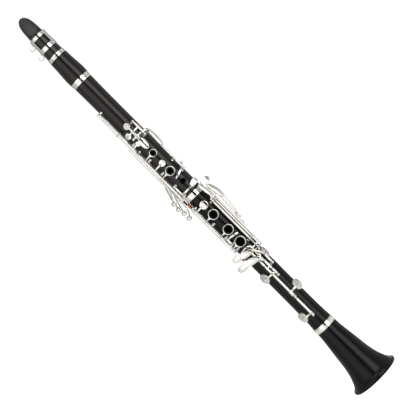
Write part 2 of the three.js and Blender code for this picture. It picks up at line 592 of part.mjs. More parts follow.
function addLittleFingerKeys() {
  // F sharp / C sharp: a rod on the second line, with its touch at the upper left.
  const fs = join([
    tube(SECOND_LINE, 186, 240.5, ROD),
    tube(SECOND_LINE, 190, 198),
    tube(SECOND_LINE, 220, 240.5, 1.6),
    arm([line(SECOND_LINE, 193.5), xyz(1.5, -21.9, 193.5), xyz(-4, -22.2, 193.6), at(-34, 21, 194),
      at(-52, 19.6, 194.4), cupTop("rh_fs")]),
    cup("rh_fs"),
    arm([line(SECOND_LINE, 239.4), xyz(-2, -19, 241.6), xyz(-9, -17, 241), xyz(-16, -14, 239.8)], 0.9),
    plate(xyz(-17.9, -13.6, 238.8), xyz(-0.3, -1, 0), xyz(-1, 0.3, 0.12), 19, 9.7),
    arm([line(SECOND_LINE, 236), xyz(6, -18, 236), xyz(8.4, -17.1, 236)], 0.7),
  ]);
  addPiece("rh_fs_key", fs, silver);
  // A flat / E flat: on the third line, with its touch over the first one's.
  const z = PADS.rh_ab[1];
  const ab = join([
    tube(THIRD_LINE, 206.4, 220.5),
    arm([line(THIRD_LINE, 213), at(47, 19, 215), at(58, 17.6, 218), cupTop("rh_ab")], 0.9),
    cup("rh_ab"),
    arm([line(THIRD_LINE, 218), xyz(9.6, -19.6, 221), xyz(8.2, -22, 225), xyz(4, -23.2, 231), xyz(0, -23.3, 233.6)]),
    plate(xyz(-6.9, -22.3, 235.7), xyz(-0.2, -1, 0), xyz(-1, 0.2, 0.26), 19.4, 9),
  ]);
  addPiece("rh_ab_key", bored(ab, THIRD_LINE, 206.4, 220.5), silver);
  // F / C: the touch turns on the second line and drives a pad key on the centre line.
  const fcTouch = join([
    tube(SECOND_LINE, 200, 214.6),
    arm([line(SECOND_LINE, 212), xyz(3.4, -21.6, 214), xyz(1.5, -23.1, 217.5), xyz(-2, -22.9, 220.5)]),
    plate(xyz(-7.6, -22.2, 223.6), xyz(-0.2, -1, 0), xyz(-1, 0.2, 0.24), 22, 9.4),
    arm([xyz(1.2, -22.7, 218.4), xyz(4.6, -21.8, 222), xyz(6.6, -20, 225.6), xyz(7.2, -18.7, 228)], 0.7),
    arm([line(SECOND_LINE, 203), xyz(2.2, -20.2, 203), xyz(0.9, -20.7, 203)], 0.65),
  ]);
  addPiece("rh_fc_touch", bored(fcTouch, SECOND_LINE, 200, 214.6), silver);
  const pad = PADS.rh_fc[1];
  const fcPad = join([
    tube(CENTRE_LINE, 153.6, 206, 1.7),
    tube(CENTRE_LINE, 153.6, 161.4, 2.4),
    arm([line(CENTRE_LINE, pad), at(14, 19.6, pad), at(34, 19.4, pad), cupTop("rh_fc")]),
    cup("rh_fc"),
    arm([line(CENTRE_LINE, 203), xyz(0.6, -18.6, 203), xyz(1.5, -18.6, 203)], 0.65),
  ]);
  addPiece("rh_fc_pad_key", bored(fcPad, CENTRE_LINE, 153.6, 206), silver);
  // E / B: a long rod through that pad key's tube, down to the lowest pad.
  const low = PADS.rh_eb[1];
  const eb = join([
    tube(CENTRE_LINE, 116.6, 238.2, ROD),
    tube(CENTRE_LINE, 120.4, 148.6, 1.7),
    tube(CENTRE_LINE, 207.6, 214.8, 1.7),
    tube(CENTRE_LINE, 220, 234.2, 1.6),
    arm([line(CENTRE_LINE, 122), at(-22, 20, 122), at(-45, 20.4, 122.4), cupTop("rh_eb")]),
    cup("rh_eb"),
    arm([line(CENTRE_LINE, 224.5), xyz(-7, -18.2, 225), xyz(-13, -16.2, 225.3), xyz(-19, -13, 225.6)], 0.9),
    plate(xyz(-22.2, -12.6, 224.9), xyz(-0.42, -1, 0), xyz(-1, 0.42, 0.1), 18, 9.7),
    arm([line(CENTRE_LINE, 231.5), xyz(1, -15.9, 231.5), xyz(3.7, -15.1, 231.5), xyz(7, -14.7, 231.5)], 0.6),
  ]);
  addPiece("rh_eb_key", eb, silver);
}

// Left-hand levers: long rods at the right, touches at the top, tips under the right-hand keys' tabs.
function addLevers() {
  const [first, second, third] = LEVER_LINES;
  const fc = join([
    tube(first, 228.5, 319, ROD),
    tube(first, 249.4, 313.6, 1.7),
    arm([line(first, 229.6), xyz(9.6, -16.4, 228.6), xyz(7, -16.6, 228)], 0.7),
    arm([line(first, 318.6), at(40, 20.6, 320.5), at(44, 21.8, 326)], 0.9),
    plate(xyz(14.2, -16.5, 332.8), outward(36), xyz(-0.17, -0.05, 1), 23, 6.6),
  ]);
  addPiece("lever_fc_key", fc, silver);
  const fs = join([
    tube(second, 236, 319, ROD),
    tube(second, 249.4, 313.6, 1.6),
    arm([line(second, 236), at(41, 16.6, 236), at(34, 16.2, 236), xyz(8, -15.3, 236)], 0.65),
    arm([line(second, 318.6), at(58, 20.8, 321), at(60, 21.4, 330), at(62, 24.6, 338)], 0.9),
    plate(xyz(22.2, -11.6, 341.5), outward(28), xyz(0.88, 0.47, 0.04), 15, 8.6),
  ]);
  addPiece("lever_fs_key", fs, silver);
  const eb = join([
    tube(third, 231.5, 319, ROD),
    tube(third, 249.4, 313.6, 1.6),
    arm([line(third, 231.5), at(52, 16, 231.5), at(38, 15.6, 231.5), at(26, 15.3, 231.5)], 0.6),
    arm([line(third, 318.6), at(72, 21.4, 320), at(77, 24.8, 322)], 0.9),
    plate(xyz(24, -6.8, 322.6), outward(36), xyz(0.15, 0.2, -1), 27, 8.2),
    arm([at(80, 27, 312), at(80, 26.4, 300), at(78, 24.4, 285), at(74, 21, 272), line(third, 262)], 0.85),
    arm([xyz(22.4, -7.4, 313), xyz(21.9, -7.4, 300), xyz(20.9, -7.7, 285), line(third, 268)], 0.85),
  ]);
  addPiece("lever_eb_key", eb, silver);
}

// ---- Thumb rest ----
function addThumbRest() {
  const base = new THREE.BoxGeometry(9, 1.6, 34).translate(0, WOOD + 1.2, 287);
  const shelf = new THREE.BoxGeometry(13, 17, 2.4).translate(0, WOOD + 10, 281);
  const lip = new THREE.BoxGeometry(13, 1.8, 6).translate(0, WOOD + 18, 282.8);
  addPiece("thumb_rest", join([base, shelf, lip].map(solid)), silver);
}

addBell();
addLowerJoint();
addUpperJoint();
addBarrel();
addMouthpiece();
addLigature();
addPosts();
addThroatKeys();
addRegisterKey();
addUpperRingKeys();
addCrossKeys();
addTrillKeys();
addLowerRingKeys();
addLittleFingerKeys();
addLevers();
addThumbRest();

export default clarinet;
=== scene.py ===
"""Looks of the clarinet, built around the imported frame. Lengths here are in millimetres until a mesh is made."""
import json
import math

import bmesh
import bpy
from mathutils import Matrix, Vector


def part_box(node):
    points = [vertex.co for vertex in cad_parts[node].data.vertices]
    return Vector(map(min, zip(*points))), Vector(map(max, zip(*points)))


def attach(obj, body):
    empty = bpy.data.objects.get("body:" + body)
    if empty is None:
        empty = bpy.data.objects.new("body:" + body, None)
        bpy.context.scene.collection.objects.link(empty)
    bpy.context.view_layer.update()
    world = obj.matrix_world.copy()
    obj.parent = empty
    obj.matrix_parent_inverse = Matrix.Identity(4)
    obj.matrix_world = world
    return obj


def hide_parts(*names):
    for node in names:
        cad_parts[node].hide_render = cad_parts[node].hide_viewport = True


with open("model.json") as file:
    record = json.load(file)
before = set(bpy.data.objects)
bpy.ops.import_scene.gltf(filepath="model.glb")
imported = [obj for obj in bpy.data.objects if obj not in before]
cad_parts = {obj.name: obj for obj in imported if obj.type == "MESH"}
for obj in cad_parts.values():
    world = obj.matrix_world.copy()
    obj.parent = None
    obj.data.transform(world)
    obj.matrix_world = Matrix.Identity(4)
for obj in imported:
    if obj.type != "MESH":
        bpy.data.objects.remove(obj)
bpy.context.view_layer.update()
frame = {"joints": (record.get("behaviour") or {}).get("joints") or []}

MM = 0.001
UP = Vector((0, 0, 1))


# ---------------------------------------------------------------- places
def at(degrees, distance, z):
    """A place by degrees round the body from -Y towards +X, distance from the bore, and height."""
    angle = math.radians(degrees)
    return Vector((distance * math.sin(angle), -distance * math.cos(angle), z))


def out(degrees):
    return at(degrees, 1, 0)


def hinge_line(body):
    """Degrees and distance of the hinge line that a key turns on, from the frame's joints."""
    joint = next(j for j in frame["joints"] if j["child"] == body)
    x, y = joint["pos_m"][0] / MM, joint["pos_m"][1] / MM
    return math.degrees(math.atan2(x, -y)), math.hypot(x, y)


LEFT = hinge_line("upper_ring_key")
TRILL = hinge_line("trill_1_key")
THROAT = hinge_line("throat_gs_key")
C_SHARP = hinge_line("cs_gs_key")
SLIVER = hinge_line("eb_bb_key")
LOW_SLIVER = hinge_line("b_fs_key")
THUMB = hinge_line("thumb_ring_key")
CENTRE = hinge_line("rh_eb_key")
SECOND = hinge_line("rh_fs_key")
THIRD = hinge_line("rh_ab_key")
LEVERS = [hinge_line(k) for k in ("lever_fc_key", "lever_fs_key", "lever_eb_key")]

WOOD = 13.9
BORE = 7.4
SHOULDER = 598.2
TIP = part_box("mouthpiece")[1].z / MM
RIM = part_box("bell")[1].x / MM
BARREL_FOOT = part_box("barrel")[0].z / MM
BELL_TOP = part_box("bell_ring")[1].z / MM
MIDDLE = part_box("lower_socket_ring")[1].z / MM
UPPER_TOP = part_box("upper_joint_ring")[0].z / MM
CUP_HEIGHT = 3.3
TENON = 17.0

# Pads: degrees, height, cup radius, tone hole radius, hinge line and turn of a pad that rests open.
PADS = {
    "throat_a": (0, 463.7, 4.75, 2.6, None, 0),
    "throat_gs": (-33, 453.2, 4.75, 2.6, None, 0),
    "trill_4": (-22, 437.3, 3.6, 2, None, 0),
    "trill_3": (-90, 436.7, 4.5, 2.4, None, 0),
    "trill_2": (-90, 408.7, 4.5, 2.4, None, 0),
    "trill_1": (-90, 386.7, 4.75, 2.6, None, 0),
    "upper_ring": (-2.8, 397, 4.75, 2.7, LEFT, -4.5),
    "register": (180, 493.7, 4, 1.5, None, 0),
    "eb_bb": (92, 379.2, 4.5, 2.5, None, 0),
    "cs_gs": (-90, 357.5, 4.5, 2.6, None, 0),
    "lower_ring": (-3.9, 320, 6, 3.8, LEFT, -4.5),
    "b_fs": (-90, 262, 4.75, 2.8, None, 0),
    "rh_ab": (66.5, 221, 6.75, 4.2, None, 0),
    "rh_fs": (-62, 194.5, 7.75, 5, SECOND, 6.5),
    "rh_fc": (62, 160, 8.25, 5.5, CENTRE, -6.5),
    "rh_eb": (-65, 123, 8, 5.5, CENTRE, 8),
}

# Open finger holes: degrees, height, hole radius, chimney radius, chimney top.
FINGER_HOLES = [
    (-1, 415, 2.7, 3.35, 16.4),
    (-3.4, 382.7, 3, 4, 16.4),
    (7, 361.5, 3.6, 4.4, 14.8),
    (-3.7, 302.5, 3.8, 4.6, 16.4),
    (-3.7, 275, 3.9, 4.6, 16.4),
    (-3.6, 252.7, 4.2, 5.3, 16.4),
    (180, 403.7, 3.2, 4.9, 16.4),
]


# ---------------------------------------------------------------- mesh parts: (vertices, faces)
def spline(points, steps):
    """Points along a centripetal-like Catmull-Rom curve through the given vectors."""
    pts = [Vector(p) for p in points]
    if len(pts) < 3:
        return [pts[0].lerp(pts[-1], i / steps) for i in range(steps + 1)]
    ends = [pts[0] * 2 - pts[1]] + pts + [pts[-1] * 2 - pts[-2]]
    result = []
    for i in range(1, len(ends) - 2):
        p0, p1, p2, p3 = ends[i - 1], ends[i], ends[i + 1], ends[i + 2]
        for k in range(steps):
            t = k / steps
            result.append(0.5 * (2 * p1 + (p2 - p0) * t + (2 * p0 - 5 * p1 + 4 * p2 - p3) * t * t
                                 + (3 * p1 - p0 - 3 * p2 + p3) * t ** 3))
    result.append(pts[-1])
    return result


def curve(profile, steps=5):
    """A profile of (radius, height) made smooth."""
    return [(max(p.x, 0), p.y) for p in spline([Vector((r, h, 0)) for r, h in profile], steps)]


def lathe(profile, segments=64, foot=Vector(), direction=UP):
    """A profile of (radius, height) turned about a line. It closes on itself or runs from axis to axis."""
    closed = profile[0] == profile[-1]
    rows = profile[:-1] if closed else profile
    turn = UP.rotation_difference(direction.normalized()).to_matrix()
    verts, rings = [], []
    for radius, height in rows:
        if radius < 1e-6:
            rings.append([len(verts)] * segments)
            verts.append(foot + turn @ Vector((0, 0, height)))
            continue
        rings.append(list(range(len(verts), len(verts) + segments)))
        for k in range(segments):
            a = 2 * math.pi * k / segments
            verts.append(foot + turn @ Vector((radius * math.cos(a), radius * math.sin(a), height)))
    faces = []
    pairs = list(zip(rings, rings[1:])) + ([(rings[-1], rings[0])] if closed else [])
    for low, high in pairs:
        for k in range(segments):
            j = (k + 1) % segments
            loop = []
            for index in (low[k], low[j], high[j], high[k]):
                if index not in loop:
                    loop.append(index)
            if len(loop) > 2:
                faces.append(loop)
    return verts, faces


def bevelled(inner, outer, low, high, bevel=0.25):
    """Closed profile of a ring with a rectangular section and rounded corners."""
    points = []
    corners = [(outer, low, -90), (outer, high, 0), (inner, high, 90), (inner, low, 180)]
    for r, h, start in corners:
        cx = r - bevel if r == outer else r + bevel
        cy = h + bevel if h == low else h - bevel
        for k in range(4):
            a = math.radians(start + 30 * k)
            points.append((cx + bevel * math.cos(a), cy + bevel * math.sin(a)))
    return points + [points[0]]


def plug(radius, low, high, bevel=0.2):
    """Profile of a solid cylinder with rounded edges."""
    return [(0, low), (radius - bevel, low), (radius - bevel * 0.3, low + bevel * 0.3), (radius, low + bevel),
            (radius, high - bevel), (radius - bevel * 0.3, high - bevel * 0.3), (radius - bevel, high), (0, high)]


def bar(start, end, radius, segments=20, bevel=0.2):
    along = end - start
    return lathe(plug(radius, 0, along.length, min(bevel, radius * 0.5)), segments, start, along)


def sweep(points, width, thickness, facing=None, sides=16, steps=6, square=2.6):
    """A bar along a smooth path with a rounded oblong section. width and thickness are full sizes,
    one number or one for each point. facing is the way its flat side looks, outwards where it is None."""
    count = len(points)
    widths = width if isinstance(width, (list, tuple)) else [width] * count
    thicks = thickness if isinstance(thickness, (list, tuple)) else [thickness] * count
    path = spline(points, steps)
    sizes = spline([Vector((w, t, 0)) for w, t in zip(widths, thicks)], steps)
    rows = []
    last = len(path) - 1
    for i, centre in enumerate(path):
        tangent = (path[min(i + 1, last)] - path[max(i - 1, 0)]).normalized()
        look = facing.copy() if facing else Vector((centre.x, centre.y, 0))
        look -= tangent * look.dot(tangent)
        normal = look.normalized() if look.length > 1e-4 else tangent.orthogonal().normalized()
        rows.append((centre, tangent, normal, tangent.cross(normal), sizes[i].x / 2, sizes[i].y / 2))
    rings = []
    first_cap = [(rows[0], -f, s) for f, s in ((1.0, 0.3), (0.7, 0.72), (0.3, 0.95))]
    last_cap = [(rows[-1], f, s) for f, s in ((0.3, 0.95), (0.7, 0.72), (1.0, 0.3))]
    for (centre, tangent, normal, side, w, h), shift, scale in (
            first_cap + [(row, 0, 1) for row in rows] + last_cap):
        middle = centre + tangent * shift * min(w, h)
        ring = []
        for k in range(sides):
            a = 2 * math.pi * k / sides
            c, s = math.cos(a), math.sin(a)
            px = math.copysign(abs(c) ** (2 / square), c) * w * scale
            py = math.copysign(abs(s) ** (2 / square), s) * h * scale
            ring.append(middle + side * px + normal * py)
        rings.append(ring)
    verts = [v for ring in rings for v in ring]
    faces = [list(range(sides))[::-1], list(range((len(rings) - 1) * sides, len(rings) * sides))]
    for i in range(len(rings) - 1):
        for k in range(sides):
            j = (k + 1) % sides
            faces.append([i * sides + k, i * sides + j, (i + 1) * sides + j, (i + 1) * sides + k])
    return verts, faces


def touch(centre, facing, long, length, width, thickness=1.5, dome=0.7, taper=0.0, bend=0.0, power=2.3):
    """A crowned finger plate. taper narrows its far end; bend curls its ends away from the finger."""
    normal = facing.normalized()
    side = (long - normal * long.dot(normal)).normalized()
    across = normal.cross(side)
    spokes = 44
    shells = [(0.0, 1.0), (0.35, 0.9), (0.65, 0.68), (0.85, 0.4), (0.95, 0.2), (1.0, 0.0)]
    verts, rings = [], []

    def place(u, v, height):
        x = u * length / 2
        y = v * width / 2 * (1 - taper * u)
        verts.append(centre + side * x + across * y + normal * (height - bend * u * u))
        return len(verts) - 1

    def ring_at(scale, height):
        ring = []
        for k in range(spokes):
            a = 2 * math.pi * k / spokes
            c, s = math.cos(a), math.sin(a)
            u = math.copysign(abs(c) ** (2 / power), c) * scale
            v = math.copysign(abs(s) ** (2 / power), s) * scale
            ring.append(place(u, v, height))
        return ring

    top = place(0, 0, thickness / 2 + dome)
    rings = [ring_at(s, thickness / 2 - 0.25 + dome * f) for s, f in shells[1:]]
    rings += [ring_at(1.0, -thickness / 2 + 0.3), ring_at(0.96, -thickness / 2), ring_at(0.5, -thickness / 2)]
    bottom = place(0, 0, -thickness / 2)
    faces = [[top, rings[0][k], rings[0][(k + 1) % spokes]] for k in range(spokes)]
    for low, high in zip(rings, rings[1:]):
        for k in range(spokes):
            j = (k + 1) % spokes
            faces.append([low[k], high[k], high[j], low[j]])
    faces += [[bottom, rings[-1][(k + 1) % spokes], rings[-1][k]] for k in range(spokes)]
    return verts, faces


def sphere(centre, radius, rows=12, segments=20):
    profile = [(radius * math.sin(math.pi * k / rows), -radius * math.cos(math.pi * k / rows)) for k in range(rows + 1)]
    profile[0], profile[-1] = (0, -radius), (0, radius)
    return lathe(profile, segments, centre)


# ---------------------------------------------------------------- objects
def mesh_from(parts, sharp_degrees):
    bm = bmesh.new()
    for verts, faces in parts:
        made = [bm.verts.new(v * MM) for v in verts]
        for face in faces:
            bm.faces.new([made[i] for i in face])
    bmesh.ops.recalc_face_normals(bm, faces=bm.faces)
    shade(bm, sharp_degrees)
    mesh = bpy.data.meshes.new("part")
    bm.to_mesh(mesh)
    bm.free()
    return mesh


def shade(bm, sharp_degrees):
    limit = math.radians(sharp_degrees)
    for face in bm.faces:
        face.smooth = True
    for edge in bm.edges:
        edge.smooth = len(edge.link_faces) == 2 and edge.calc_face_angle(0) < limit


def make(name, parts, material, body, node=None, sharp=38):
    """An object made of closed parts, riding on a body, standing for a CAD node where one is named."""
    piece = bpy.data.objects.new(name, mesh_from(parts, sharp))
    bpy.context.scene.collection.objects.link(piece)
    return declare(piece, material, body, node)


def declare(piece, material, body, node):
    piece.data.materials.append(material)
    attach(piece, body)
    if node:
        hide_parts(node)
    return piece


def carve(parts, cutters, name):
    """A body with cutters taken out of it by an exact boolean."""
    body = bpy.data.objects.new(name, mesh_from(parts, 30))
    knife = bpy.data.objects.new(name + "_knife", mesh_from(cutters, 30))
    for thing in (body, knife):
        bpy.context.scene.collection.objects.link(thing)
    modifier = body.modifiers.new("cut", "BOOLEAN")
    modifier.operation = "DIFFERENCE"
    modifier.solver = "EXACT"
    modifier.use_self = True
    modifier.object = knife
    bpy.context.view_layer.update()
    graph = bpy.context.evaluated_depsgraph_get()
    body.data = bpy.data.meshes.new_from_object(body.evaluated_get(graph))
    body.modifiers.clear()
    bpy.data.objects.remove(knife)
    bm = bmesh.new()
    bm.from_mesh(body.data)
    bmesh.ops.recalc_face_normals(bm, faces=bm.faces)
    shade(bm, 24)
    bm.to_mesh(body.data)
    bm.free()
    return body


# ---------------------------------------------------------------- materials
def new_material(name):
    material = bpy.data.materials.new(name)
    material.use_nodes = True
    tree = material.node_tree
    shader = tree.nodes["Principled BSDF"]
    return material, tree, shader


def add(tree, kind, **values):
    node = tree.nodes.new(kind)
    for key, value in values.items():
        setattr(node, key, value)
    return node


def stretched_noise(tree, scale, stretch, detail=6.0, roughness=0.55):
    """Noise in object space, drawn out by the stretch of each axis."""
    coords = add(tree, "ShaderNodeTexCoord")
    mapping = add(tree, "ShaderNodeMapping")
    mapping.inputs["Scale"].default_value = stretch
    noise = add(tree, "ShaderNodeTexNoise")
    noise.inputs["Scale"].default_value = scale
    noise.inputs["Detail"].default_value = detail
    noise.inputs["Roughness"].default_value = roughness
    tree.links.new(coords.outputs["Object"], mapping.inputs["Vector"])
    tree.links.new(mapping.outputs["Vector"], noise.inputs["Vector"])
    return noise.outputs["Fac"]


def ramp(tree, factor, stops):
    node = add(tree, "ShaderNodeValToRGB")
    elements = node.color_ramp.elements
    while len(elements) < len(stops):
        elements.new(0.5)
    for element, (position, colour) in zip(elements, stops):
        element.position = position
        element.color = (*colour, 1)
    tree.links.new(factor, node.inputs["Fac"])
    return node.outputs["Color"]


def spread(tree, factor, low, high, start=0.3, end=0.7):
    node = add(tree, "ShaderNodeMapRange")
    for key, value in (("From Min", start), ("From Max", end), ("To Min", low), ("To Max", high)):
        node.inputs[key].default_value = value
    tree.links.new(factor, node.inputs["Value"])
    return node.outputs["Result"]


def bump(tree, shader, height, strength, distance):
    node = add(tree, "ShaderNodeBump")
    node.inputs["Strength"].default_value = strength
    node.inputs["Distance"].default_value = distance
    tree.links.new(height, node.inputs["Height"])
    tree.links.new(node.outputs["Normal"], shader.inputs["Normal"])


def wood_material(name, dark, light, rough, shine):
    """Close-grained, oiled blackwood: long fine grain up the bore, with small open pores."""
    material, tree, shader = new_material(name)
    grain = stretched_noise(tree, 420, (1, 1, 0.035), 8)
    figure = stretched_noise(tree, 60, (1, 1, 0.06), 3)
    mixed = add(tree, "ShaderNodeMath", operation="MULTIPLY_ADD")
    mixed.inputs[1].default_value = 0.6
    tree.links.new(grain, mixed.inputs[0])
    half = add(tree, "ShaderNodeMath", operation="MULTIPLY")
    half.inputs[1].default_value = 0.4
    tree.links.new(figure, half.inputs[0])
    tree.links.new(half.outputs[0], mixed.inputs[2])
    tree.links.new(ramp(tree, mixed.outputs[0], [(0.34, dark), (0.66, light)]), shader.inputs["Base Color"])
    tree.links.new(spread(tree, grain, rough - 0.03, rough + 0.05), shader.inputs["Roughness"])
    shader.inputs["Specular IOR Level"].default_value = shine
    bump(tree, shader, grain, 0.1, 0.00003)
    return material


def metal_material(name, colour, rough, tint=(0.9, 0.84, 0.74)):
    """Polished plate: fine handling marks, and a faint warm tarnish in patches."""
    material, tree, shader = new_material(name)
    shader.inputs["Metallic"].default_value = 1.0
    patches = stretched_noise(tree, 55, (1, 1, 1), 4)
    tarnish = tuple(a * b for a, b in zip(colour, tint))
    tree.links.new(ramp(tree, patches, [(0.48, colour), (0.75, tarnish)]), shader.inputs["Base Color"])
    marks = stretched_noise(tree, 900, (1, 1, 0.25), 5)
    tree.links.new(spread(tree, marks, rough - 0.03, rough + 0.06), shader.inputs["Roughness"])
    bump(tree, shader, marks, 0.025, 0.00002)
    return material


def matte_material(name, dark, light, rough, scale, stretch=(1, 1, 1), depth=0.00008, strength=0.3):
    material, tree, shader = new_material(name)
    noise = stretched_noise(tree, scale, stretch, 7)
    tree.links.new(ramp(tree, noise, [(0.35, dark), (0.65, light)]), shader.inputs["Base Color"])
    tree.links.new(spread(tree, noise, rough - 0.06, rough + 0.06), shader.inputs["Roughness"])
    bump(tree, shader, noise, strength, depth)
    return material


UPPER_WOOD = wood_material("upper_blackwood", (0.0021, 0.0012, 0.0009), (0.0068, 0.0035, 0.0025), 0.24, 0.36)
# The lower joint and bell take a darker, less shiny copy of the blackwood; its darker colour is painted shade.
LOWER_WOOD_PAINTED_SHADE = wood_material("lower_blackwood_painted_shade", (0.0005, 0.0004, 0.0005), (0.0015, 0.0012, 0.0012), 0.24, 0.2)
SILVER = metal_material("silver_plate", (0.73, 0.73, 0.71), 0.09)
# The rings take a lighter copy of the silver plate than the keys; its lighter colour is painted light.
RING_SILVER_PAINTED_LIGHT = metal_material("ring_plate_painted_light", (0.85, 0.85, 0.82), 0.08)
STEEL = metal_material("hinge_steel", (0.55, 0.55, 0.56), 0.26)
# The beak's slope takes a lighter, rougher copy of the ebonite: the roughness is a matte finish, the lighter grey is
# painted light.
MATT_EBONITE_PAINTED_LIGHT = matte_material("matt_ebonite_painted_light", (0.012, 0.0125, 0.0105), (0.015, 0.0155, 0.013), 0.42, 900, depth=0.00003)
EBONITE = matte_material("polished_ebonite", (0.0016, 0.0016, 0.0016), (0.0026, 0.0026, 0.0025), 0.25, 900, depth=0.00001)
CORK = matte_material("cork", (0.30, 0.13, 0.05), (0.56, 0.33, 0.17), 0.9, 1100)
RED_CORK = matte_material("stained_cork", (0.32, 0.09, 0.04), (0.50, 0.18, 0.09), 0.85, 1300)
CANE = matte_material("cane", (0.55, 0.40, 0.16), (0.76, 0.62, 0.33), 0.6, 700, (1, 1, 0.02))
PAD_SKIN = matte_material("pad_skin", (0.62, 0.52, 0.38), (0.80, 0.72, 0.58), 0.55, 500)
BRASS = metal_material("lacquered_brass", (0.72, 0.48, 0.18), 0.25)


# ---------------------------------------------------------------- wood bodies
def seat_distance(radius):
    return math.sqrt(WOOD ** 2 - radius ** 2)


def dense(profile, step=1.6):
    """Adds rows so that no two are further apart than step."""
    rows = [profile[0]]
    for (r0, h0), (r1, h1) in zip(profile, profile[1:]):
        count = max(1, int(math.hypot(r1 - r0, h1 - h0) / step))
        rows += [(r0 + (r1 - r0) * k / count, h0 + (h1 - h0) * k / count) for k in range(1, count + 1)]
    return rows


def bored_body(node, outer, inner, low, high, material):
    """A turned joint with its pad seats, tone holes and chimneys between two heights."""
    profile = dense(outer) + dense(inner)[::-1]
    parts = [lathe(profile + [profile[0]], 96)]
    cutters = []
    for degrees, z, hole, chimney, top in (h for h in FINGER_HOLES if low < h[1] < high):
        cutters.append(lathe(plug(hole, BORE - 3, WOOD + 6, 0.01), 40, at(degrees, 0, z), out(degrees)))
    for degrees, z, radius, hole, hinge, turn in (p for p in PADS.values() if low < p[1] < high):
        seat = seat_distance(radius)
        step = [(0, BORE - 3), (hole, BORE - 3), (hole, seat - 0.02), (radius + 0.8, seat), (radius + 1.1, 19), (0, 19)]
        cutters.append(lathe(step, 48, at(degrees, 0, z), out(degrees)))
    declare(carve(parts, cutters, node + "_turned"), material, "body", node)
    chimneys = [
        lathe(dished(hole, chimney, WOOD - 1.5, top), 48, at(degrees, 0, z), out(degrees))
        for degrees, z, hole, chimney, top in FINGER_HOLES if low < z < high
    ]
    make(node + "_chimneys", chimneys, material, "body", None)


def dished(hole, chimney, low, top):
    """Closed profile of a chimney whose top falls away into its hole."""
    lip = chimney - 0.45
    return [(hole, low), (chimney, low), (chimney, top - 0.3), (chimney - 0.12, top - 0.06), (lip, top),
            ((hole + lip) / 2, top - 0.9), (hole, top - 2.2), (hole, low)]


def build_bell():
    flare = curve([(15.6, 92), (15.95, 86), (16.5, 80), (17.7, 70), (19.0, 60), (20.2, 50), (21.4, 40), (23.1, 30),
                   (25.8, 20), (30.0, 10), (32.6, 6.9)], 4)
    rim = [(33.3, 6.3), (34.0, 5.9), (34.1, 5.6), (34.6, 5.4), (35.3, 4.6), (RIM, 3.0), (35.5, 1.4), (34.9, 0.4),
           (34.2, 0.0), (31.6, 0.0)]
    mouth = curve([(31.0, 0.3), (28.6, 4.5), (25.9, 11), (21.3, 24), (17.4, 39), (13.2, 60), (10.6, 78)], 4)
    socket = [(13.1, 78.4), (13.1, BELL_TOP - 0.5), (14.4, BELL_TOP - 0.5), (14.6, 92.8), (15.4, 92.5)]
    profile = flare + rim + mouth + socket
    make("bell_turned", [lathe(profile + [profile[0]], 128)], LOWER_WOOD_PAINTED_SHADE, "body", "bell", 30)
    ring = [(14.85, 92.7), (15.5, 92.7), (15.75, 93.0), (15.85, 93.6), (15.6, 94.0), (15.6, 94.3), (16.0, 94.8),
            (16.05, 96.4), (16.0, 98.3), (15.6, 98.7), (15.6, 99.0), (15.85, 99.3), (15.8, 100.1),
            (15.5, BELL_TOP), (14.85, BELL_TOP), (14.85, 92.7)]
    make("bell_ring_turned", [lathe(ring, 96)], RING_SILVER_PAINTED_LIGHT, "body", "bell_ring")
    sleeve("bell_tenon_cork", 84, 97, 11.9, 12.75)


def sleeve(node, low, high, inner, outer, body="body"):
    make(node + "_sleeve", [lathe(bevelled(inner, outer, low, high, 0.35), 64)], CORK, body, node)


def build_joints():
    foot = BELL_TOP + 0.3
    outer = [(11.6, foot - TENON), (11.6, foot), (15.2, foot + 0.1), (15.35, foot + 0.9), (14.95, 105), (14.7, 110),
             (14.25, 124), (14.0, 140), (WOOD, 152), (WOOD, 334.9), (13.6, 335.3), (13.6, MIDDLE - 0.2)]
    top = MIDDLE - TENON
    inner = [(9.4, foot - TENON), (BORE, 150), (BORE, top), (11.9, top), (11.9, MIDDLE - 0.2)]
    bored_body("lower_joint", outer, inner, 105, MIDDLE - 5, LOWER_WOOD_PAINTED_SHADE)
    ring = [(13.9, 335.5), (14.45, 335.5), (14.7, 335.8), (14.8, 336.4), (14.62, 336.9), (14.62, 341.6),
            (14.8, 342.0), (14.75, 342.7), (14.4, MIDDLE), (13.9, MIDDLE), (13.9, 335.5)]
    make("lower_socket_ring_turned", [lathe(ring, 96)], RING_SILVER_PAINTED_LIGHT, "body", "lower_socket_ring")
    foot = MIDDLE + 0.3
    neck = UPPER_TOP
    outer = [(10.6, foot - TENON + 0.6), (10.6, foot), (14.1, foot + 0.05), (14.35, foot + 0.7), (14.4, 350), (14.2, 398.7),
             (WOOD, 438.7), (WOOD, 508.7), (14.05, 530), (14.3, neck - 0.8), (14.2, neck - 0.3), (10.7, neck),
             (10.7, neck + TENON)]
    inner = [(BORE, foot - TENON + 0.6), (BORE, neck + TENON)]
    bored_body("upper_joint", outer, inner, foot, neck, UPPER_WOOD)
    ring = bevelled(11.1, 14.75, neck, BARREL_FOOT - 0.3, 0.3)
    make("upper_joint_ring_turned", [lathe(ring, 96)], RING_SILVER_PAINTED_LIGHT, "body", "upper_joint_ring")
    sleeve("middle_tenon_cork", foot - TENON + 3, foot - 3, 10.9, 11.6)
    sleeve("upper_tenon_cork", BARREL_FOOT + 1.5, neck + TENON - 2, 11, 11.6)


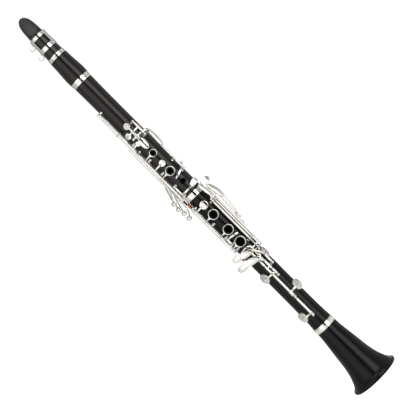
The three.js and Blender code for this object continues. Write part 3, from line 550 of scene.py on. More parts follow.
def build_barrel():
    body = "barrel_and_mouthpiece"
    wall = curve([(14.95, 553.6), (15.25, 558.2), (15.3, 563.2), (14.6, 573.2), (14.0, 583.2), (13.75, 591.8)], 6)
    outer = [(14.0, BARREL_FOOT), (14.0, 553.3)] + wall + [(12.9, 592.3), (12.9, SHOULDER - 0.6)]
    top = UPPER_TOP + TENON + 2
    mouth = SHOULDER - TENON - 1
    inner = [(11.9, BARREL_FOOT), (11.9, top), (BORE, top), (BORE, mouth), (11.6, mouth), (11.6, SHOULDER - 0.6)]
    profile = outer + inner[::-1]
    make("barrel_turned", [lathe(profile + [profile[0]], 96)], UPPER_WOOD, body, "barrel", 28)
    lower = [(14.3, BARREL_FOOT), (14.7, BARREL_FOOT), (15.0, BARREL_FOOT + 0.35), (15.05, 550.8), (15.05, 552.4),
             (14.95, 553.2), (14.3, 553.3), (14.3, BARREL_FOOT)]
    make("barrel_lower_ring_turned", [lathe(lower, 96)], RING_SILVER_PAINTED_LIGHT, body, "barrel_lower_ring")
    upper = [(13.0, 592.4), (13.7, 592.4), (13.95, 592.8), (13.95, 593.6), (13.75, 594), (13.7, 596.6),
             (13.75, 597), (13.6, 597.5), (13.2, 597.8), (13.0, 597.8), (13.0, 592.4)]
    make("barrel_upper_ring_turned", [lathe(upper, 96)], RING_SILVER_PAINTED_LIGHT, body, "barrel_upper_ring")


# ---------------------------------------------------------------- mouthpiece, reed, ligature
TABLE_Y = 7.6


BEAK_CROWN = 0.026
BEAK_HALF_WIDTHS = [(600, 14), (638, 11.2), (644, 10.5), (650, 10.0), (655, 9.1), (658, 8.2), (660.5, 7.1), (662.3, 5.9),
                    (663.6, 4.7), (664.6, 3.4), (665.2, 2.2), (TIP, 1.0)]


def value_at(table, z):
    """The value at z, straight between the rows of a table of (z, value)."""
    for (z0, v0), (z1, v1) in zip(table, table[1:]):
        if z <= z1:
            return v0 + (v1 - v0) * (z - z0) / (z1 - z0)
    return table[-1][1]


def beak_y(z):
    """Depth of the beak's sloping face: a long, slightly hollow slope that starts in a rounded shoulder."""
    t = min(max((z - 635.6) / (TIP - 635.6), 0), 1)
    return -11.4 + 17.6 * (t ** 0.86) + 1.0 * math.sin(math.pi * t)


def build_mouthpiece():
    body = "barrel_and_mouthpiece"
    radii = [(598.3, 12.3), (598.9, 12.75), (601.2, 12.65), (614.2, 11.95), (633.2, 11.25), (640.2, 10.95), (653.2, 10.9), (TIP, 10.7)]
    heights = [598.3, 598.6, 598.9] + [599.2 + 1.5 * k for k in range(23)] + [633.2 + 0.75 * k for k in range(36)]
    heights = [z for z in heights if z < TIP - 3.2] + [TIP - 3.2 + 3.2 * math.sin(math.pi / 2 * k / 9) for k in range(1, 10)]
    spokes = 96
    rings = []
    for z in heights:
        radius = value_at(radii, z)
        front = beak_y(z) if z > 635.6 else -40
        back = TABLE_Y if z > 598.7 else 40
        middle = (max(front, -radius) + min(back, radius)) / 2
        half = value_at(BEAK_HALF_WIDTHS, z)
        ring = []
        for k in range(spokes):
            a = 2 * math.pi * k / spokes
            dx, dy = math.cos(a), math.sin(a)
            limits = []
            b = middle * dy
            limits.append(-b + math.sqrt(max(b * b - middle * middle + radius * radius, 0.01)))
            if dy > 0.02:
                limits.append((back - middle) / dy)
            if dy < -0.02:
                rise = BEAK_CROWN * dx * dx
                limits.append((dy + math.sqrt(dy * dy + 4 * rise * (middle - front))) / (2 * rise)
                              if rise > 1e-5 else (front - middle) / dy)
            if abs(dx) > 0.02:
                limits.append(half / abs(dx))
            sharp = 16.0
            reach = sum(max(v, 0.05) ** -sharp for v in limits) ** (-1 / sharp)
            ring.append(Vector((dx * reach, middle + dy * reach, z)))
        rings.append(ring)
    verts = [v for ring in rings for v in ring]
    faces = [list(range(spokes))[::-1], list(range((len(rings) - 1) * spokes, len(rings) * spokes))]
    for i in range(len(rings) - 1):
        for k in range(spokes):
            j = (k + 1) % spokes
            faces.append([i * spokes + k, i * spokes + j, (i + 1) * spokes + j, (i + 1) * spokes + k])
    tenon = lathe([(0, SHOULDER - TENON)] + [(10.2, SHOULDER - TENON), (10.4, SHOULDER - TENON + 0.3),
                  (10.4, SHOULDER + 0.6), (0, SHOULDER + 0.6)], 64)
    piece = make("mouthpiece_lofted", [(verts, faces), tenon], EBONITE, body, "mouthpiece", 40)
    # Faces of the beak slope that look forward and up take the lighter ebonite: painted light where the slope catches
    # the light.
    piece.data.materials.append(MATT_EBONITE_PAINTED_LIGHT)
    for face in piece.data.polygons:
        if face.center.z > 0.6372 and face.normal.y < -0.3 and face.normal.z > 0.18:
            face.material_index = 1
    sleeve("mouthpiece_cork", SHOULDER - TENON + 2, SHOULDER - 2.5, 10.7, 11.3, body)
    build_reed(body)


def build_reed(body):
    """A cane reed: flat face to the table, round bark at the heel, and a vamp that thins to the tip."""
    heel, bark_end, tip = 601.2, 630.2, TIP - 0.7
    across, along = 24, 60
    verts = []
    for i in range(along + 1):
        z = heel + (tip - heel) * i / along
        half = min(5.9 + 0.35 * (z - heel) / (tip - heel), value_at(BEAK_HALF_WIDTHS, z) - 0.3)
        for k in range(across + 1):
            u = -1 + 2 * k / across
            bark = 2.6 - 0.75 * u * u
            edge = bark_end + 3.5 * u * u
            run = min(max((z - edge) / (tip - edge), 0), 1)
            thick = bark * (1 - run) ** 1.15 + 0.22
            verts.append(Vector((half * u, TABLE_Y + 0.25 + thick, z)))
    count = len(verts)
    verts += [Vector((v.x, TABLE_Y + 0.25, v.z)) for v in verts]
    faces = []
    row = across + 1
    for i in range(along):
        for k in range(across):
            a = i * row + k
            faces.append([a, a + 1, a + row + 1, a + row])
            faces.append([count + a, count + a + row, count + a + row + 1, count + a + 1])
    for i in range(along):
        for k, flip in ((0, False), (across, True)):
            a, b = i * row + k, (i + 1) * row + k
            loop = [a, b, count + b, count + a]
            faces.append(loop[::-1] if flip else loop)
    for k in range(across):
        faces.append([k, count + k, count + k + 1, k + 1])
        a = along * row + k
        faces.append([a, a + 1, count + a + 1, count + a])
    make("reed_cut", [(verts, faces)], CANE, body, "reed", 40)


def ligature_radius(z):
    return 13.25 - 0.4 * (z - 605.7) / 27


def build_ligature():
    body = "barrel_and_mouthpiece"
    bands = [(608.4, 614.4), (627.8, 632.7)]
    segments = 144
    heights = [608.4 + (632.7 - 608.4) * k / 48 for k in range(49)]

    def solid_at(degrees, z):
        side = (degrees + 180) % 360 - 180
        if abs(abs(side) - 180) < 8:
            return False
        if any(low <= z <= high for low, high in bands):
            return True
        return abs(side) > 45

    cells = {}
    for i in range(len(heights) - 1):
        z = (heights[i] + heights[i + 1]) / 2
        for k in range(segments):
            if solid_at(360 * (k + 0.5) / segments, z):
                cells[(i, k)] = True
    index, verts, faces = {}, [], []

    def vertex(i, k, layer):
        key = (i, k % segments, layer)
        if key not in index:
            z = heights[i]
            bulge = 0.0
            for low, high in bands:
                if low <= z <= high:
                    bulge = 0.28 * math.sin(math.pi * (z - low) / (high - low)) ** 0.5
            radius = ligature_radius(z) + bulge if layer else 12.62
            index[key] = len(verts)
            verts.append(at(360 * key[1] / segments, radius, z))
        return index[key]

    for i, k in cells:
        for layer in (0, 1):
            loop = [vertex(i, k, layer), vertex(i, k + 1, layer), vertex(i + 1, k + 1, layer), vertex(i + 1, k, layer)]
            faces.append(loop if layer else loop[::-1])
        for di, dk, a, b in ((0, -1, (i, k), (i + 1, k)), (0, 1, (i + 1, k + 1), (i, k + 1)),
                             (-1, 0, (i, k + 1), (i, k)), (1, 0, (i + 1, k), (i + 1, k + 1))):
            if (i + di, (k + dk) % segments) not in cells:
                faces.append([vertex(*a, 0), vertex(*a, 1), vertex(*b, 1), vertex(*b, 0)])
    parts = [(verts, faces)]
    screws = {name: frame_joint_z(name) for name in ("ligature_screw_lower", "ligature_screw_upper")}
    screw_y = 16.4
    paddle_turn = -18
    for z in screws.values():
        for x in (-3.5, 3.5):
            lug = [Vector((x, 11.8, z)), Vector((x, 14.5, z)), Vector((x, screw_y + 1.0, z))]
            parts.append(sweep(lug, [4.2, 4.4, 4.2], 2.0, Vector((1, 0, 0))))
    make("ligature_fine", parts, SILVER, body, "ligature_band", sharp=40)
    for name, z in screws.items():
        shank = bar(Vector((-13, screw_y, z)), Vector((6.8, screw_y, z)), 1.05)
        neck = bar(Vector((-13.2, screw_y, z)), Vector((-9.6, screw_y, z)), 1.9)
        rim = [(0, -1.0), (2.9, -1.0), (3.7, -1.25), (4.15, -0.85), (4.3, 0.0), (4.15, 0.85), (3.7, 1.25), (2.9, 1.0),
               (0, 0.9)]
        paddle = lathe(curve(rim, 4), 64, Vector((-16.2, screw_y, z)), out(paddle_turn))
        make(name + "_fine", [shank, neck, paddle], SILVER, name, name)


def frame_joint_z(body):
    joint = next(j for j in frame["joints"] if j["child"] == body)
    return joint["pos_m"][2] / MM


# ---------------------------------------------------------------- posts
def post(hinge, z, wood=WOOD, ball=1.9):
    """A turned post: flange, waist and round head, with a screw end on each side of the head."""
    degrees, distance = hinge
    reach = distance - wood
    profile = [(0, -0.6), (1.95, -0.6), (2.0, 0.1), (1.9, 0.35), (1.35, 0.6), (1.1, 1.0), (0.95, max(1.2, reach - 1.9))]
    for k in range(9):
        a = math.radians(-60 + 150 * k / 8)
        profile.append((ball * math.cos(a), reach + ball * math.sin(a)))
    profile[-1] = (0, reach + ball)
    parts = [lathe(profile, 28, at(degrees, wood, z), out(degrees))]
    centre = at(degrees, distance, z)
    parts.append(bar(centre - UP * (ball + 0.12), centre + UP * (ball + 0.12), 1.0, 20, 0.15))
    return parts


def tube_line(hinge, low, high, radius, segments=28):
    return bar(at(*hinge, low), at(*hinge, high), radius, segments, 0.18)


def posts(node, hinge, heights, name=None):
    parts = [tube_line(hinge, min(heights), max(heights), 0.9)]
    for z in heights:
        parts += post(hinge, z)
    make(name or node + "_fine", parts, SILVER, "body", node)


def across_posts(node, side, distance, z):
    y = side * distance
    parts = [bar(Vector((-7.1, y, z)), Vector((7.1, y, z)), 0.95)]
    for x in (-6, 6):
        foot = side * (math.sqrt(WOOD ** 2 - x ** 2) - 0.5)
        reach = abs(y - foot)
        profile = [(0, 0), (1.9, 0), (1.9, 0.8), (1.3, 1.2), (1.0, 1.6), (0.95, reach - 1.7)]
        for k in range(9):
            a = math.radians(-60 + 150 * k / 8)
            profile.append((1.85 * math.cos(a), reach + 1.85 * math.sin(a)))
        profile[-1] = (0, reach + 1.85)
        parts.append(lathe(profile, 28, Vector((x, foot, z)), Vector((0, side, 0))))
    make(node + "_fine", parts, SILVER, "body", node)


def build_posts():
    posts("left_upper_posts", LEFT, [345, 428.7, 500.7])
    posts("trill_posts", TRILL, [374.7, 397.9, 422.7, 449])
    posts("throat_gs_posts", THROAT, [440.3, 463])
    posts("cs_gs_posts", C_SHARP, [346.6, 364])
    posts("eb_bb_posts", SLIVER, [372.4, 391])
    posts("thumb_ring_posts", THUMB, [393.7, 413.7])
    posts("left_lower_posts", LEFT, [247.6, 324.6])
    posts("b_fs_posts", LOW_SLIVER, [257, 269])
    posts("rh_ab_posts", THIRD, [204, 222.9])
    across_posts("throat_a_posts", -1, 18.3, 445.3)
    across_posts("register_posts", 1, 18.3, 460.7)
    for node, hinges, z in (("centre_post_end", [CENTRE], 118), ("centre_post_middle", [CENTRE], 151),
                            ("second_post_end", [SECOND], 187.4), ("double_post", [CENTRE, SECOND], 217.3),
                            ("centre_post_top", [CENTRE], 236.8), ("lever_posts_lower", LEVERS, 247),
                            ("lever_posts_upper", LEVERS, 316)):
        parts = []
        for hinge in hinges:
            parts += post(hinge, z, WOOD + (0.3 if z < 120 else 0))
        for first, second in zip(hinges, hinges[1:]):
            middle = (first[0] + second[0]) / 2
            parts.append(sweep([at(first[0], 16.6, z), at(middle, 16.7, z), at(second[0], 16.6, z)], 1.8, 1.3))
        make(node + "_fine", parts, SILVER, "body", node)
    guide = [bar(at(LEFT[0], WOOD - 0.3, 464.2), at(LEFT[0], 16.6, 464.2), 1.1)]
    sideways = out(LEFT[0] + 90)
    feet = [at(LEFT[0], 16.4, 464.2) + sideways * (3.4 * s) for s in (-1, 1)]
    guide.append(bar(feet[0], feet[1], 0.8))
    for foot in feet:
        head = foot + out(LEFT[0]) * 3.6
        guide += [bar(foot, head, 0.75), sphere(head, 1.35)]
    make("trill_guide_fine", guide, SILVER, "body", "trill_guide")


# ---------------------------------------------------------------- key parts
def rest_turn(pad):
    """The turn that lifts a pad from where it closes to where it rests."""
    degrees, z, radius, hole, hinge, turn = PADS[pad]
    if not hinge:
        return Matrix.Identity(4)
    centre = at(*hinge, 0)
    return Matrix.Translation(centre) @ Matrix.Rotation(math.radians(turn), 4, "Z") @ Matrix.Translation(-centre)


def moved(part, matrix):
    return [matrix @ v for v in part[0]], part[1]


def pad_foot(pad):
    degrees, z, radius = PADS[pad][:3]
    return at(degrees, seat_distance(radius) + 0.3, z)


CROWNS = {"throat_gs": 0.4, "lower_ring": 0.6}
# The degrees a cup's face leans round from its tone hole.
LEANS = {"throat_a": -5, "upper_ring": -3}


def cup_part(pad):
    degrees, z, radius = PADS[pad][:3]
    crown = CROWNS.get(pad, 0.08 if radius < 5.5 else radius * 0.1)
    profile = [(0, 1.0), (radius - 0.35, 1.0), (radius - 0.1, 1.1), (radius, 1.3), (radius, 2.0), (radius - 0.12, 2.35),
               (radius - 0.5, 2.62)]
    profile += [(radius * 0.86 * f, 2.76 + crown * (1 - f * f)) for f in (1, 0.8, 0.6, 0.4, 0.2, 0)]
    part = lathe(profile, 56, pad_foot(pad), out(degrees + LEANS.get(pad, 0)))
    return moved(part, rest_turn(pad))


def add_pad(pad, body):
    degrees, z, radius = PADS[pad][:3]
    r = radius - 0.2
    profile = [(0, 0.12), (r * 0.55, 0.1), (r * 0.72, 0.0), (r * 0.9, 0.05), (r, 0.3), (r, 1.15), (0, 1.15)]
    part = moved(lathe(profile, 48, pad_foot(pad), out(degrees)), rest_turn(pad))
    make(pad + "_pad", [part], PAD_SKIN, body, None)


def cup_top(pad, round_by=0.0, lift=0.0):
    degrees, z, radius = PADS[pad][:3]
    spot = at(degrees + round_by, seat_distance(radius) + 0.3 + CUP_HEIGHT - 0.3 + lift, z)
    return rest_turn(pad) @ spot


def finger_ring(hinge, degrees, z, outer, inner):
    low, high = 16.7, 18.3
    foot = at(degrees, 0, z)
    ring = lathe(bevelled(max(inner, outer - 1.25), outer, low, high, 0.5), 72, foot, out(degrees))
    sign = 1 if hinge[0] > degrees else -1
    side = out(degrees + 90) * sign
    edge = at(degrees, 17.5, z) + side * (outer - 0.5)
    near = at(degrees, 17.7, z) + side * (outer + 1.6)
    knee = at(hinge[0] - sign * 15, 19.7, z)
    arm = sweep([at(*hinge, z), knee, near, edge], [2.6, 1.7, 2.3, 4.6], [2.6, 1.5, 1.5, 1.3])
    boss = bar(at(*hinge, z - 2.1), at(*hinge, z + 2.1), 1.95, 28, 0.4)
    return [ring, arm, boss]


def cork_spot(name, centre, facing, size, body, material=RED_CORK):
    part = lathe(plug(size[0], -size[1] / 2, size[1] / 2, 0.15), 20, centre, facing)
    make(name, [part], material, body, None)


# ---------------------------------------------------------------- keys
def xyz(x, y, z):
    return Vector((x, y, z))


def line(hinge, z):
    return at(hinge[0], hinge[1], z)


def arm(points, width=2.3, thick=1.5, facing=None):
    """A forged arm: stout where it leaves its tube and finer at its end."""
    count = len(points) - 1
    widths = [width * (1.25 - 0.35 * i / count) for i in range(count + 1)]
    thicks = [thick * (1.25 - 0.3 * i / count) for i in range(count + 1)]
    return sweep(points, widths, thicks, facing)


def key_tube(hinge, low, high, radius=1.8):
    """A hinge tube with a fine collar turned at each end."""
    profile = [(0, 0), (radius * 0.8, 0), (radius, 0.2), (radius, 1.1), (radius - 0.14, 1.25), (radius - 0.14, 1.5),
               (radius, 1.65)]
    length = high - low
    profile += [(r, length - h) for r, h in profile[::-1]]
    return lathe(profile, 32, line(hinge, low))


def boss(hinge, z, length=3.8, radius=2.15):
    return lathe(plug(radius, -length / 2, length / 2, 0.35), 32, line(hinge, z))


def spring_lug(hinge, z):
    """A small hooked lug under a tube, that its needle spring presses on."""
    return bar(at(hinge[0], hinge[1] - 1.2, z), at(hinge[0], hinge[1] - 2.9, z), 0.5, 14)


def key(node, parts, pads=()):
    make(node + "_fine", parts, SILVER, node, node)
    for pad in pads:
        add_pad(pad, node)


def across_tube(y, z):
    return bar(xyz(-3.7, y, z), xyz(3.7, y, z), 1.95, 32, 0.3)


def build_throat_keys():
    y, z = -18.3, 445.3
    parts = [
        across_tube(y, z),
        sweep([xyz(0, -20.4, 437.7), xyz(0, -20.3, z), xyz(0, -20.6, 454.7), xyz(0, -20, 463.7)], [4.4, 3.8, 2.4, 2.2],
              [1.4, 1.8, 1.6, 1.3]),
        bar(cup_top("throat_a"), xyz(0, -20, 463.7), 1.3),
        cup_part("throat_a"),
        touch(xyz(-0.2, -20.7, 432.3), xyz(-0.04, -1, -0.05), UP, 17.5, 9, dome=1.2, taper=-0.12, bend=0.5),
    ]
    key("throat_a_key", parts, ["throat_a"])
    z = PADS["throat_gs"][1]
    parts = [
        key_tube(THROAT, 442.7, 460.6),
        boss(THROAT, z), boss(THROAT, 444.9),
        arm([line(THROAT, z), at(17, 16.6, z), at(0, 16.5, z), at(-20, 16.7, z), cup_top("throat_gs")], 2.2, 1.3),
        cup_part("throat_gs"),
        arm([line(THROAT, 444.7), at(50, 19.6, 443.7), at(62, 19.4, 440.5), at(70, 18.2, 436)], 2.4, 1.5),
        touch(xyz(16.7, -5.6, 429.6), out(50), UP, 32, 8.2, dome=2.2, taper=0.14, bend=0.8),
        spring_lug(THROAT, 448.7),
    ]
    key("throat_gs_key", parts, ["throat_gs"])


def build_register_key():
    y, z = 18.3, 460.7
    parts = [
        across_tube(y, z),
        sweep([xyz(0, 20.2, 438.7), xyz(0, 20.3, z), xyz(0, 20.6, 478.7), xyz(0, 18.7, 493.7)], [4.2, 3.6, 2.3, 2.0],
              [1.4, 1.8, 1.6, 1.3]),
        bar(cup_top("register"), xyz(0, 19, 493.7), 1.2),
        cup_part("register"),
        touch(xyz(0, 20.6, 434.7), xyz(0, 1, 0), UP, 20, 8.5, taper=-0.15, bend=0.6),
    ]
    key("register_key", parts, ["register"])


def ring_key_arm(hinge, pad):
    z = PADS[pad][1]
    return arm([line(hinge, z), at(-38, 19.4, z), at(-18, 18.8, z), cup_top(pad)], 2.4, 1.5)


def build_ring_keys():
    parts = [key_tube(LEFT, 347.4, 426.3)]
    parts += finger_ring(LEFT, -1, 415, 5.5, 4.15)
    parts += finger_ring(LEFT, -3.4, 382.7, 6.6, 4.9)
    parts += [ring_key_arm(LEFT, "upper_ring"), boss(LEFT, PADS["upper_ring"][1]), cup_part("upper_ring"),
              arm([line(LEFT, 351), at(-66, 21.4, 348), at(-67, 21.4, 342.5), xyz(-18, -11.2, 340.4)], 2.1, 1.4),
              sweep([xyz(-16.6, -11.75, 342.3), xyz(-16.6, -11.75, 335.1)], 3.2, 1.0, xyz(0.05, -1, 0), 24, 6, 9),
              boss(LEFT, 351),
              spring_lug(LEFT, 407.7)]
    key("upper_ring_key", parts, ["upper_ring"])
    parts = [key_tube(THUMB, 396.1, 411.3)] + finger_ring(THUMB, 180, 403.7, 7.3, 5.8)
    key("thumb_ring_key", parts)
    parts = [key_tube(LEFT, 250, 322.2)]
    for z, outer, inner in ((302.5, 7.2, 5.5), (275, 7.3, 5.5), (252.7, 7.7, 6.3)):
        parts += finger_ring(LEFT, -3.7, z, outer, inner)
    parts += [ring_key_arm(LEFT, "lower_ring"), boss(LEFT, PADS["lower_ring"][1]), cup_part("lower_ring"),
              arm([line(LEFT, 318), at(-66, 19.2, 321), at(-67, 18.8, 327), xyz(-16.6, -9.8, 331)], 2.0, 1.3),
              sweep([xyz(-15.3, -10.45, 327.9), xyz(-15.3, -10.45, 335.7)], 5, 0.9, xyz(0, -1, 0), 20, 6, 7),
              spring_lug(LEFT, 311)]
    key("lower_ring_key", parts, ["lower_ring"])
    for x, y, low, high, width in ((-16.5, -11.2, 329.6, 333.4, 2.4), (-13.5, -11.2, 327.2, 333.0, 1.1)):
        cork = sweep([xyz(x, y, low), xyz(x, y, high)], width, 1.1, xyz(0, -1, 0), 20, 6, 5)
        make("bridge_cork_%d" % width, [cork], RED_CORK, "lower_ring_key", None)


def build_cross_keys():
    z = PADS["cs_gs"][1]
    parts = [
        key_tube(C_SHARP, 348.9, 361.7, 1.6),
        arm([line(C_SHARP, z), at(-58, 15.8, z), at(-73, 16.1, z), cup_top("cs_gs", 8)], 2.0, 1.2),
        cup_part("cs_gs"),
        arm([line(C_SHARP, 350), at(-22, 19.7, 349), at(0, 20.3, 349), at(20, 20.4, 350)], 2.6, 1.5),
        touch(at(27, 20.7, 350.5), out(18), out(112) + UP * 0.17, 15, 7.6, dome=1.0, taper=-0.3),
    ]
    key("cs_gs_key", parts, ["cs_gs"])
    parts = [
        key_tube(SLIVER, 374.8, 388.6, 1.6),
        sweep([line(SLIVER, 376.3), at(33, 19.6, 374.3), at(10, 19.5, 371.9), at(-6, 19.1, 370.3)],
              [2.6, 2.6, 3.0, 2.4], [1.6, 1.5, 1.5, 1.3]),
        arm([line(SLIVER, 380.7), at(68, 19.2, 380.7), at(84, 18.2, 379.7), cup_top("eb_bb")], 2.2, 1.4),
        cup_part("eb_bb"),
    ]
    key("eb_bb_key", parts, ["eb_bb"])
    low = PADS["b_fs"][1]
    parts = [
        key_tube(LOW_SLIVER, 259.2, 266.8, 1.6),
        arm([line(LOW_SLIVER, low), at(-57, 15.7, low), at(-72, 16.0, low), cup_top("b_fs", 8)], 2.0, 1.2),
        cup_part("b_fs"),
        sweep([line(LOW_SLIVER, 265.4), at(-20, 19, 265.6), at(0, 19.3, 264.5), at(14, 18.9, 263.4)],
              [2.5, 2.6, 3.1, 2.6], [1.6, 1.5, 1.5, 1.3]),
    ]
    key("b_fs_key", parts, ["b_fs"])


TRILL_FACING = Vector((-0.35, -1, 0))
TRILL_ACROSS = Vector((-1, 0.3, 0.1))


def trill_touch(node, centre):
    """A small oval touch with a cork under its end."""
    spot = centre - TRILL_FACING.normalized() * 1.7 - UP * 0.3
    cork_spot(node + "_bumper", spot, TRILL_FACING, (2.3, 1.5), node)
    return touch(centre, TRILL_FACING, TRILL_ACROSS, 7.6, 7.2, 1.4, 1.7, power=2.0)


def build_trill_keys():
    parts = [
        key_tube(LEFT, 431.1, 498.3),
        boss(LEFT, 437.3),
        arm([line(LEFT, 437.3), at(-42, 18.6, 437.3), at(-32, 17.4, 437.3), cup_top("trill_4")], 2.2, 1.4),
        cup_part("trill_4"),
        arm([line(LEFT, 437.7), at(-62, 22.4, 435.7), at(-62, 22.5, 398.7), at(-62, 22.5, 368), xyz(-22.5, -7, 359),
             xyz(-27, -2.4, 351)], 2.3, 1.7),
        trill_touch("trill_4_key", xyz(-28.2, -1, 348.2)),
        spring_lug(LEFT, 482.7),
    ]
    key("trill_4_key", parts, ["trill_4"])
    keys = {
        "trill_3": (425.1, 446.6, (-137, 20.9), 390.7, [at(-135, 24, 382.7), at(-113, 27.4, 359)], xyz(-28.8, 1.4, 339)),
        "trill_2": (400.3, 420.3, (-126.5, 20.9), 368, [at(-113.5, 23.6, 352)], xyz(-27.2, 1.4, 330.4)),
        "trill_1": (377.1, 395.5, (-114, 21), 360, [at(-102, 21.2, 331)], xyz(-27, 1.2, 321)),
    }
    for name, (low, high, lane, leave, route, end) in keys.items():
        z = PADS[name][1]
        lever = [line(TRILL, low + 7), line(lane, low + 3), line(lane, leave)] + route + [end]
        parts = [
            key_tube(TRILL, low, high),
            boss(TRILL, z),
            arm([line(TRILL, z), at(-105, 19.8, z), cup_top(name)], 2.3, 1.4),
            cup_part(name),
            arm(lever, 2.3, 1.6),
            trill_touch(name + "_key", end),
            spring_lug(TRILL, high - 4),
        ]
        key(name + "_key", parts, [name])


# ---------------------------------------------------------------- little finger keys
OUTER_TAPER = 0.08
INNER_TAPER = 0.24


def build_right_hand_keys():
    parts = [
        tube_line(SECOND, 186, 240.5, 0.9),
        key_tube(SECOND, 190, 198), key_tube(SECOND, 220, 240.5, 1.6),
        arm([line(SECOND, 193.5), xyz(1.5, -21.9, 193.5), xyz(-4, -22.2, 193.6), at(-34, 21, 194),
             at(-52, 19.8, 194.4), cup_top("rh_fs")], 2.6, 1.6),
        cup_part("rh_fs"),
        arm([line(SECOND, 239.4), xyz(-2, -19, 241.6), xyz(-9, -17, 241), xyz(-14, -14.6, 240)], 2.2, 1.4),
        touch(xyz(-17.9, -13.6, 238.8), xyz(-0.3, -1, 0), xyz(-1, 0.3, 0.12), 19, 9.7, dome=1.5, taper=-OUTER_TAPER),
        arm([line(SECOND, 236), xyz(6, -18, 236), xyz(8.4, -17.1, 236)], 1.9, 1.2),
    ]
    key("rh_fs_key", parts, ["rh_fs"])
    cork_spot("spatula_cork", xyz(-15.3, -14.2, 232.3), UP, (1.9, 3.4), "rh_fs_key")
    parts = [
        key_tube(THIRD, 206.4, 220.5),
        arm([line(THIRD, 213), at(47, 19.1, 215), at(58, 17.8, 218), cup_top("rh_ab")], 2.4, 1.5),
        cup_part("rh_ab"),
        arm([line(THIRD, 218), xyz(9.6, -19.6, 221), xyz(8.2, -22, 225), xyz(4, -23.2, 231), xyz(0, -23.3, 233.6)],
            2.4, 1.5),
        touch(xyz(-6.9, -22.3, 235.7), xyz(-0.2, -1, 0), xyz(-1, 0.2, 0.26), 19.4, 9.0, dome=1.2, taper=-INNER_TAPER),
        spring_lug(THIRD, 210),
    ]
    key("rh_ab_key", parts, ["rh_ab"])
    parts = [
        key_tube(SECOND, 200, 214.6),
        arm([line(SECOND, 212), xyz(3.4, -21.6, 214), xyz(1.5, -23.1, 217.5), xyz(-2, -22.9, 220.5)], 2.4, 1.5),
        touch(xyz(-7.6, -22.2, 223.6), xyz(-0.2, -1, 0), xyz(-1, 0.2, 0.24), 22, 9.4, dome=1.2, taper=-INNER_TAPER),
        arm([xyz(1.2, -22.7, 218.4), xyz(4.6, -21.8, 222), xyz(6.6, -20, 225.6), xyz(7.2, -18.7, 228)], 1.8, 1.2),
        arm([line(SECOND, 203), xyz(2.2, -20.2, 203), xyz(0.9, -20.7, 203)], 1.8, 1.1),
        spring_lug(SECOND, 206),
    ]
    key("rh_fc_touch", parts)
    pad = PADS["rh_fc"][1]
    parts = [
        key_tube(CENTRE, 153.6, 206, 1.7),
        lathe(plug(2.4, 0, 7.8, 0.4), 32, line(CENTRE, 153.6)),
        arm([line(CENTRE, pad), at(14, 19.7, pad), at(34, 19.5, pad), cup_top("rh_fc")], 2.7, 1.6),
        cup_part("rh_fc"),
        arm([line(CENTRE, 203), xyz(0.6, -18.6, 203), xyz(1.5, -18.6, 203)], 1.8, 1.1),
        spring_lug(CENTRE, 168),
    ]
    key("rh_fc_pad_key", parts, ["rh_fc"])
    parts = [
        tube_line(CENTRE, 116.6, 238.2, 0.9),
        key_tube(CENTRE, 120.4, 148.6, 1.7), key_tube(CENTRE, 207.6, 214.8, 1.7), key_tube(CENTRE, 220, 234.2, 1.6),
        boss(CENTRE, 122.4, 3.8, 2.3),
        arm([line(CENTRE, 122), at(-22, 20.1, 122), at(-45, 20.5, 122.4), cup_top("rh_eb")], 2.7, 1.6),
        cup_part("rh_eb"),
        arm([line(CENTRE, 224.5), xyz(-7, -18.2, 225), xyz(-13, -16.2, 225.3), xyz(-18, -13.6, 225.5)], 2.2, 1.4),
        touch(xyz(-22.2, -12.6, 224.9), xyz(-0.42, -1, 0), xyz(-1, 0.42, 0.1), 18, 9.7, dome=1.5, taper=-OUTER_TAPER),
        arm([line(CENTRE, 231.5), xyz(1, -15.9, 231.5), xyz(3.7, -15.1, 231.5), xyz(7, -14.7, 231.5)], 1.7, 1.1),
        spring_lug(CENTRE, 136),
    ]
    key("rh_eb_key", parts, ["rh_eb"])


def build_levers():
    first, second, third = LEVERS
    parts = [
        tube_line(first, 228.5, 319, 0.9), key_tube(first, 249.4, 313.6, 1.7),
        arm([line(first, 229.6), xyz(9.6, -16.4, 228.6), xyz(7, -16.6, 228)], 1.9, 1.2),
        arm([line(first, 318.6), at(40, 20.6, 320.5), at(44, 21.7, 326)], 2.6, 1.6),
        touch(xyz(14.2, -16.5, 332.8), out(36), xyz(-0.17, -0.05, 1), 23, 6.6, dome=1.1, taper=0.1, bend=0.5),
        spring_lug(first, 300),
    ]
    key("lever_fc_key", parts)
    parts = [
        tube_line(second, 236, 319, 0.9), key_tube(second, 249.4, 313.6, 1.6),
        arm([line(second, 236), at(41, 16.6, 236), at(34, 16.2, 236), xyz(8, -15.3, 236)], 1.8, 1.1),
        arm([line(second, 318.6), at(57, 20.8, 321), at(56, 21.4, 330), at(60.5, 23.9, 338)], 2.4, 1.5),
        touch(xyz(22.2, -11.6, 341.5), out(20), xyz(0.94, 0.34, 0.04), 15, 8.6, dome=1.0, taper=-0.08),
        spring_lug(second, 296),
    ]
    key("lever_fs_key", parts)
    parts = [
        tube_line(third, 231.5, 319, 0.9), key_tube(third, 249.4, 313.6, 1.6),
        arm([line(third, 231.5), at(52, 16, 231.5), at(38, 15.6, 231.5), at(26, 15.3, 231.5)], 1.7, 1.1),
        arm([line(third, 318.6), at(72, 21.4, 320), at(77, 24.8, 322)], 2.4, 1.5),
        touch(xyz(24, -6.8, 322.6), out(36), xyz(0.15, 0.2, -1), 27, 8.2, dome=1.2, bend=0.6),
        sweep([at(80, 27.0, 312), at(80, 26.4, 300), at(78, 24.4, 285), at(74, 21, 272), line(third, 262)],
              [3.0, 2.6, 2.5, 2.4, 2.4], [1.7, 1.6, 1.5, 1.5, 1.7]),
        sweep([xyz(22.4, -7.4, 313), xyz(21.9, -7.4, 300), xyz(20.9, -7.7, 285), line(third, 268)],
              [2.4, 2.3, 2.2, 2.2], 1.5),
        spring_lug(third, 292),
    ]
    key("lever_eb_key", parts)


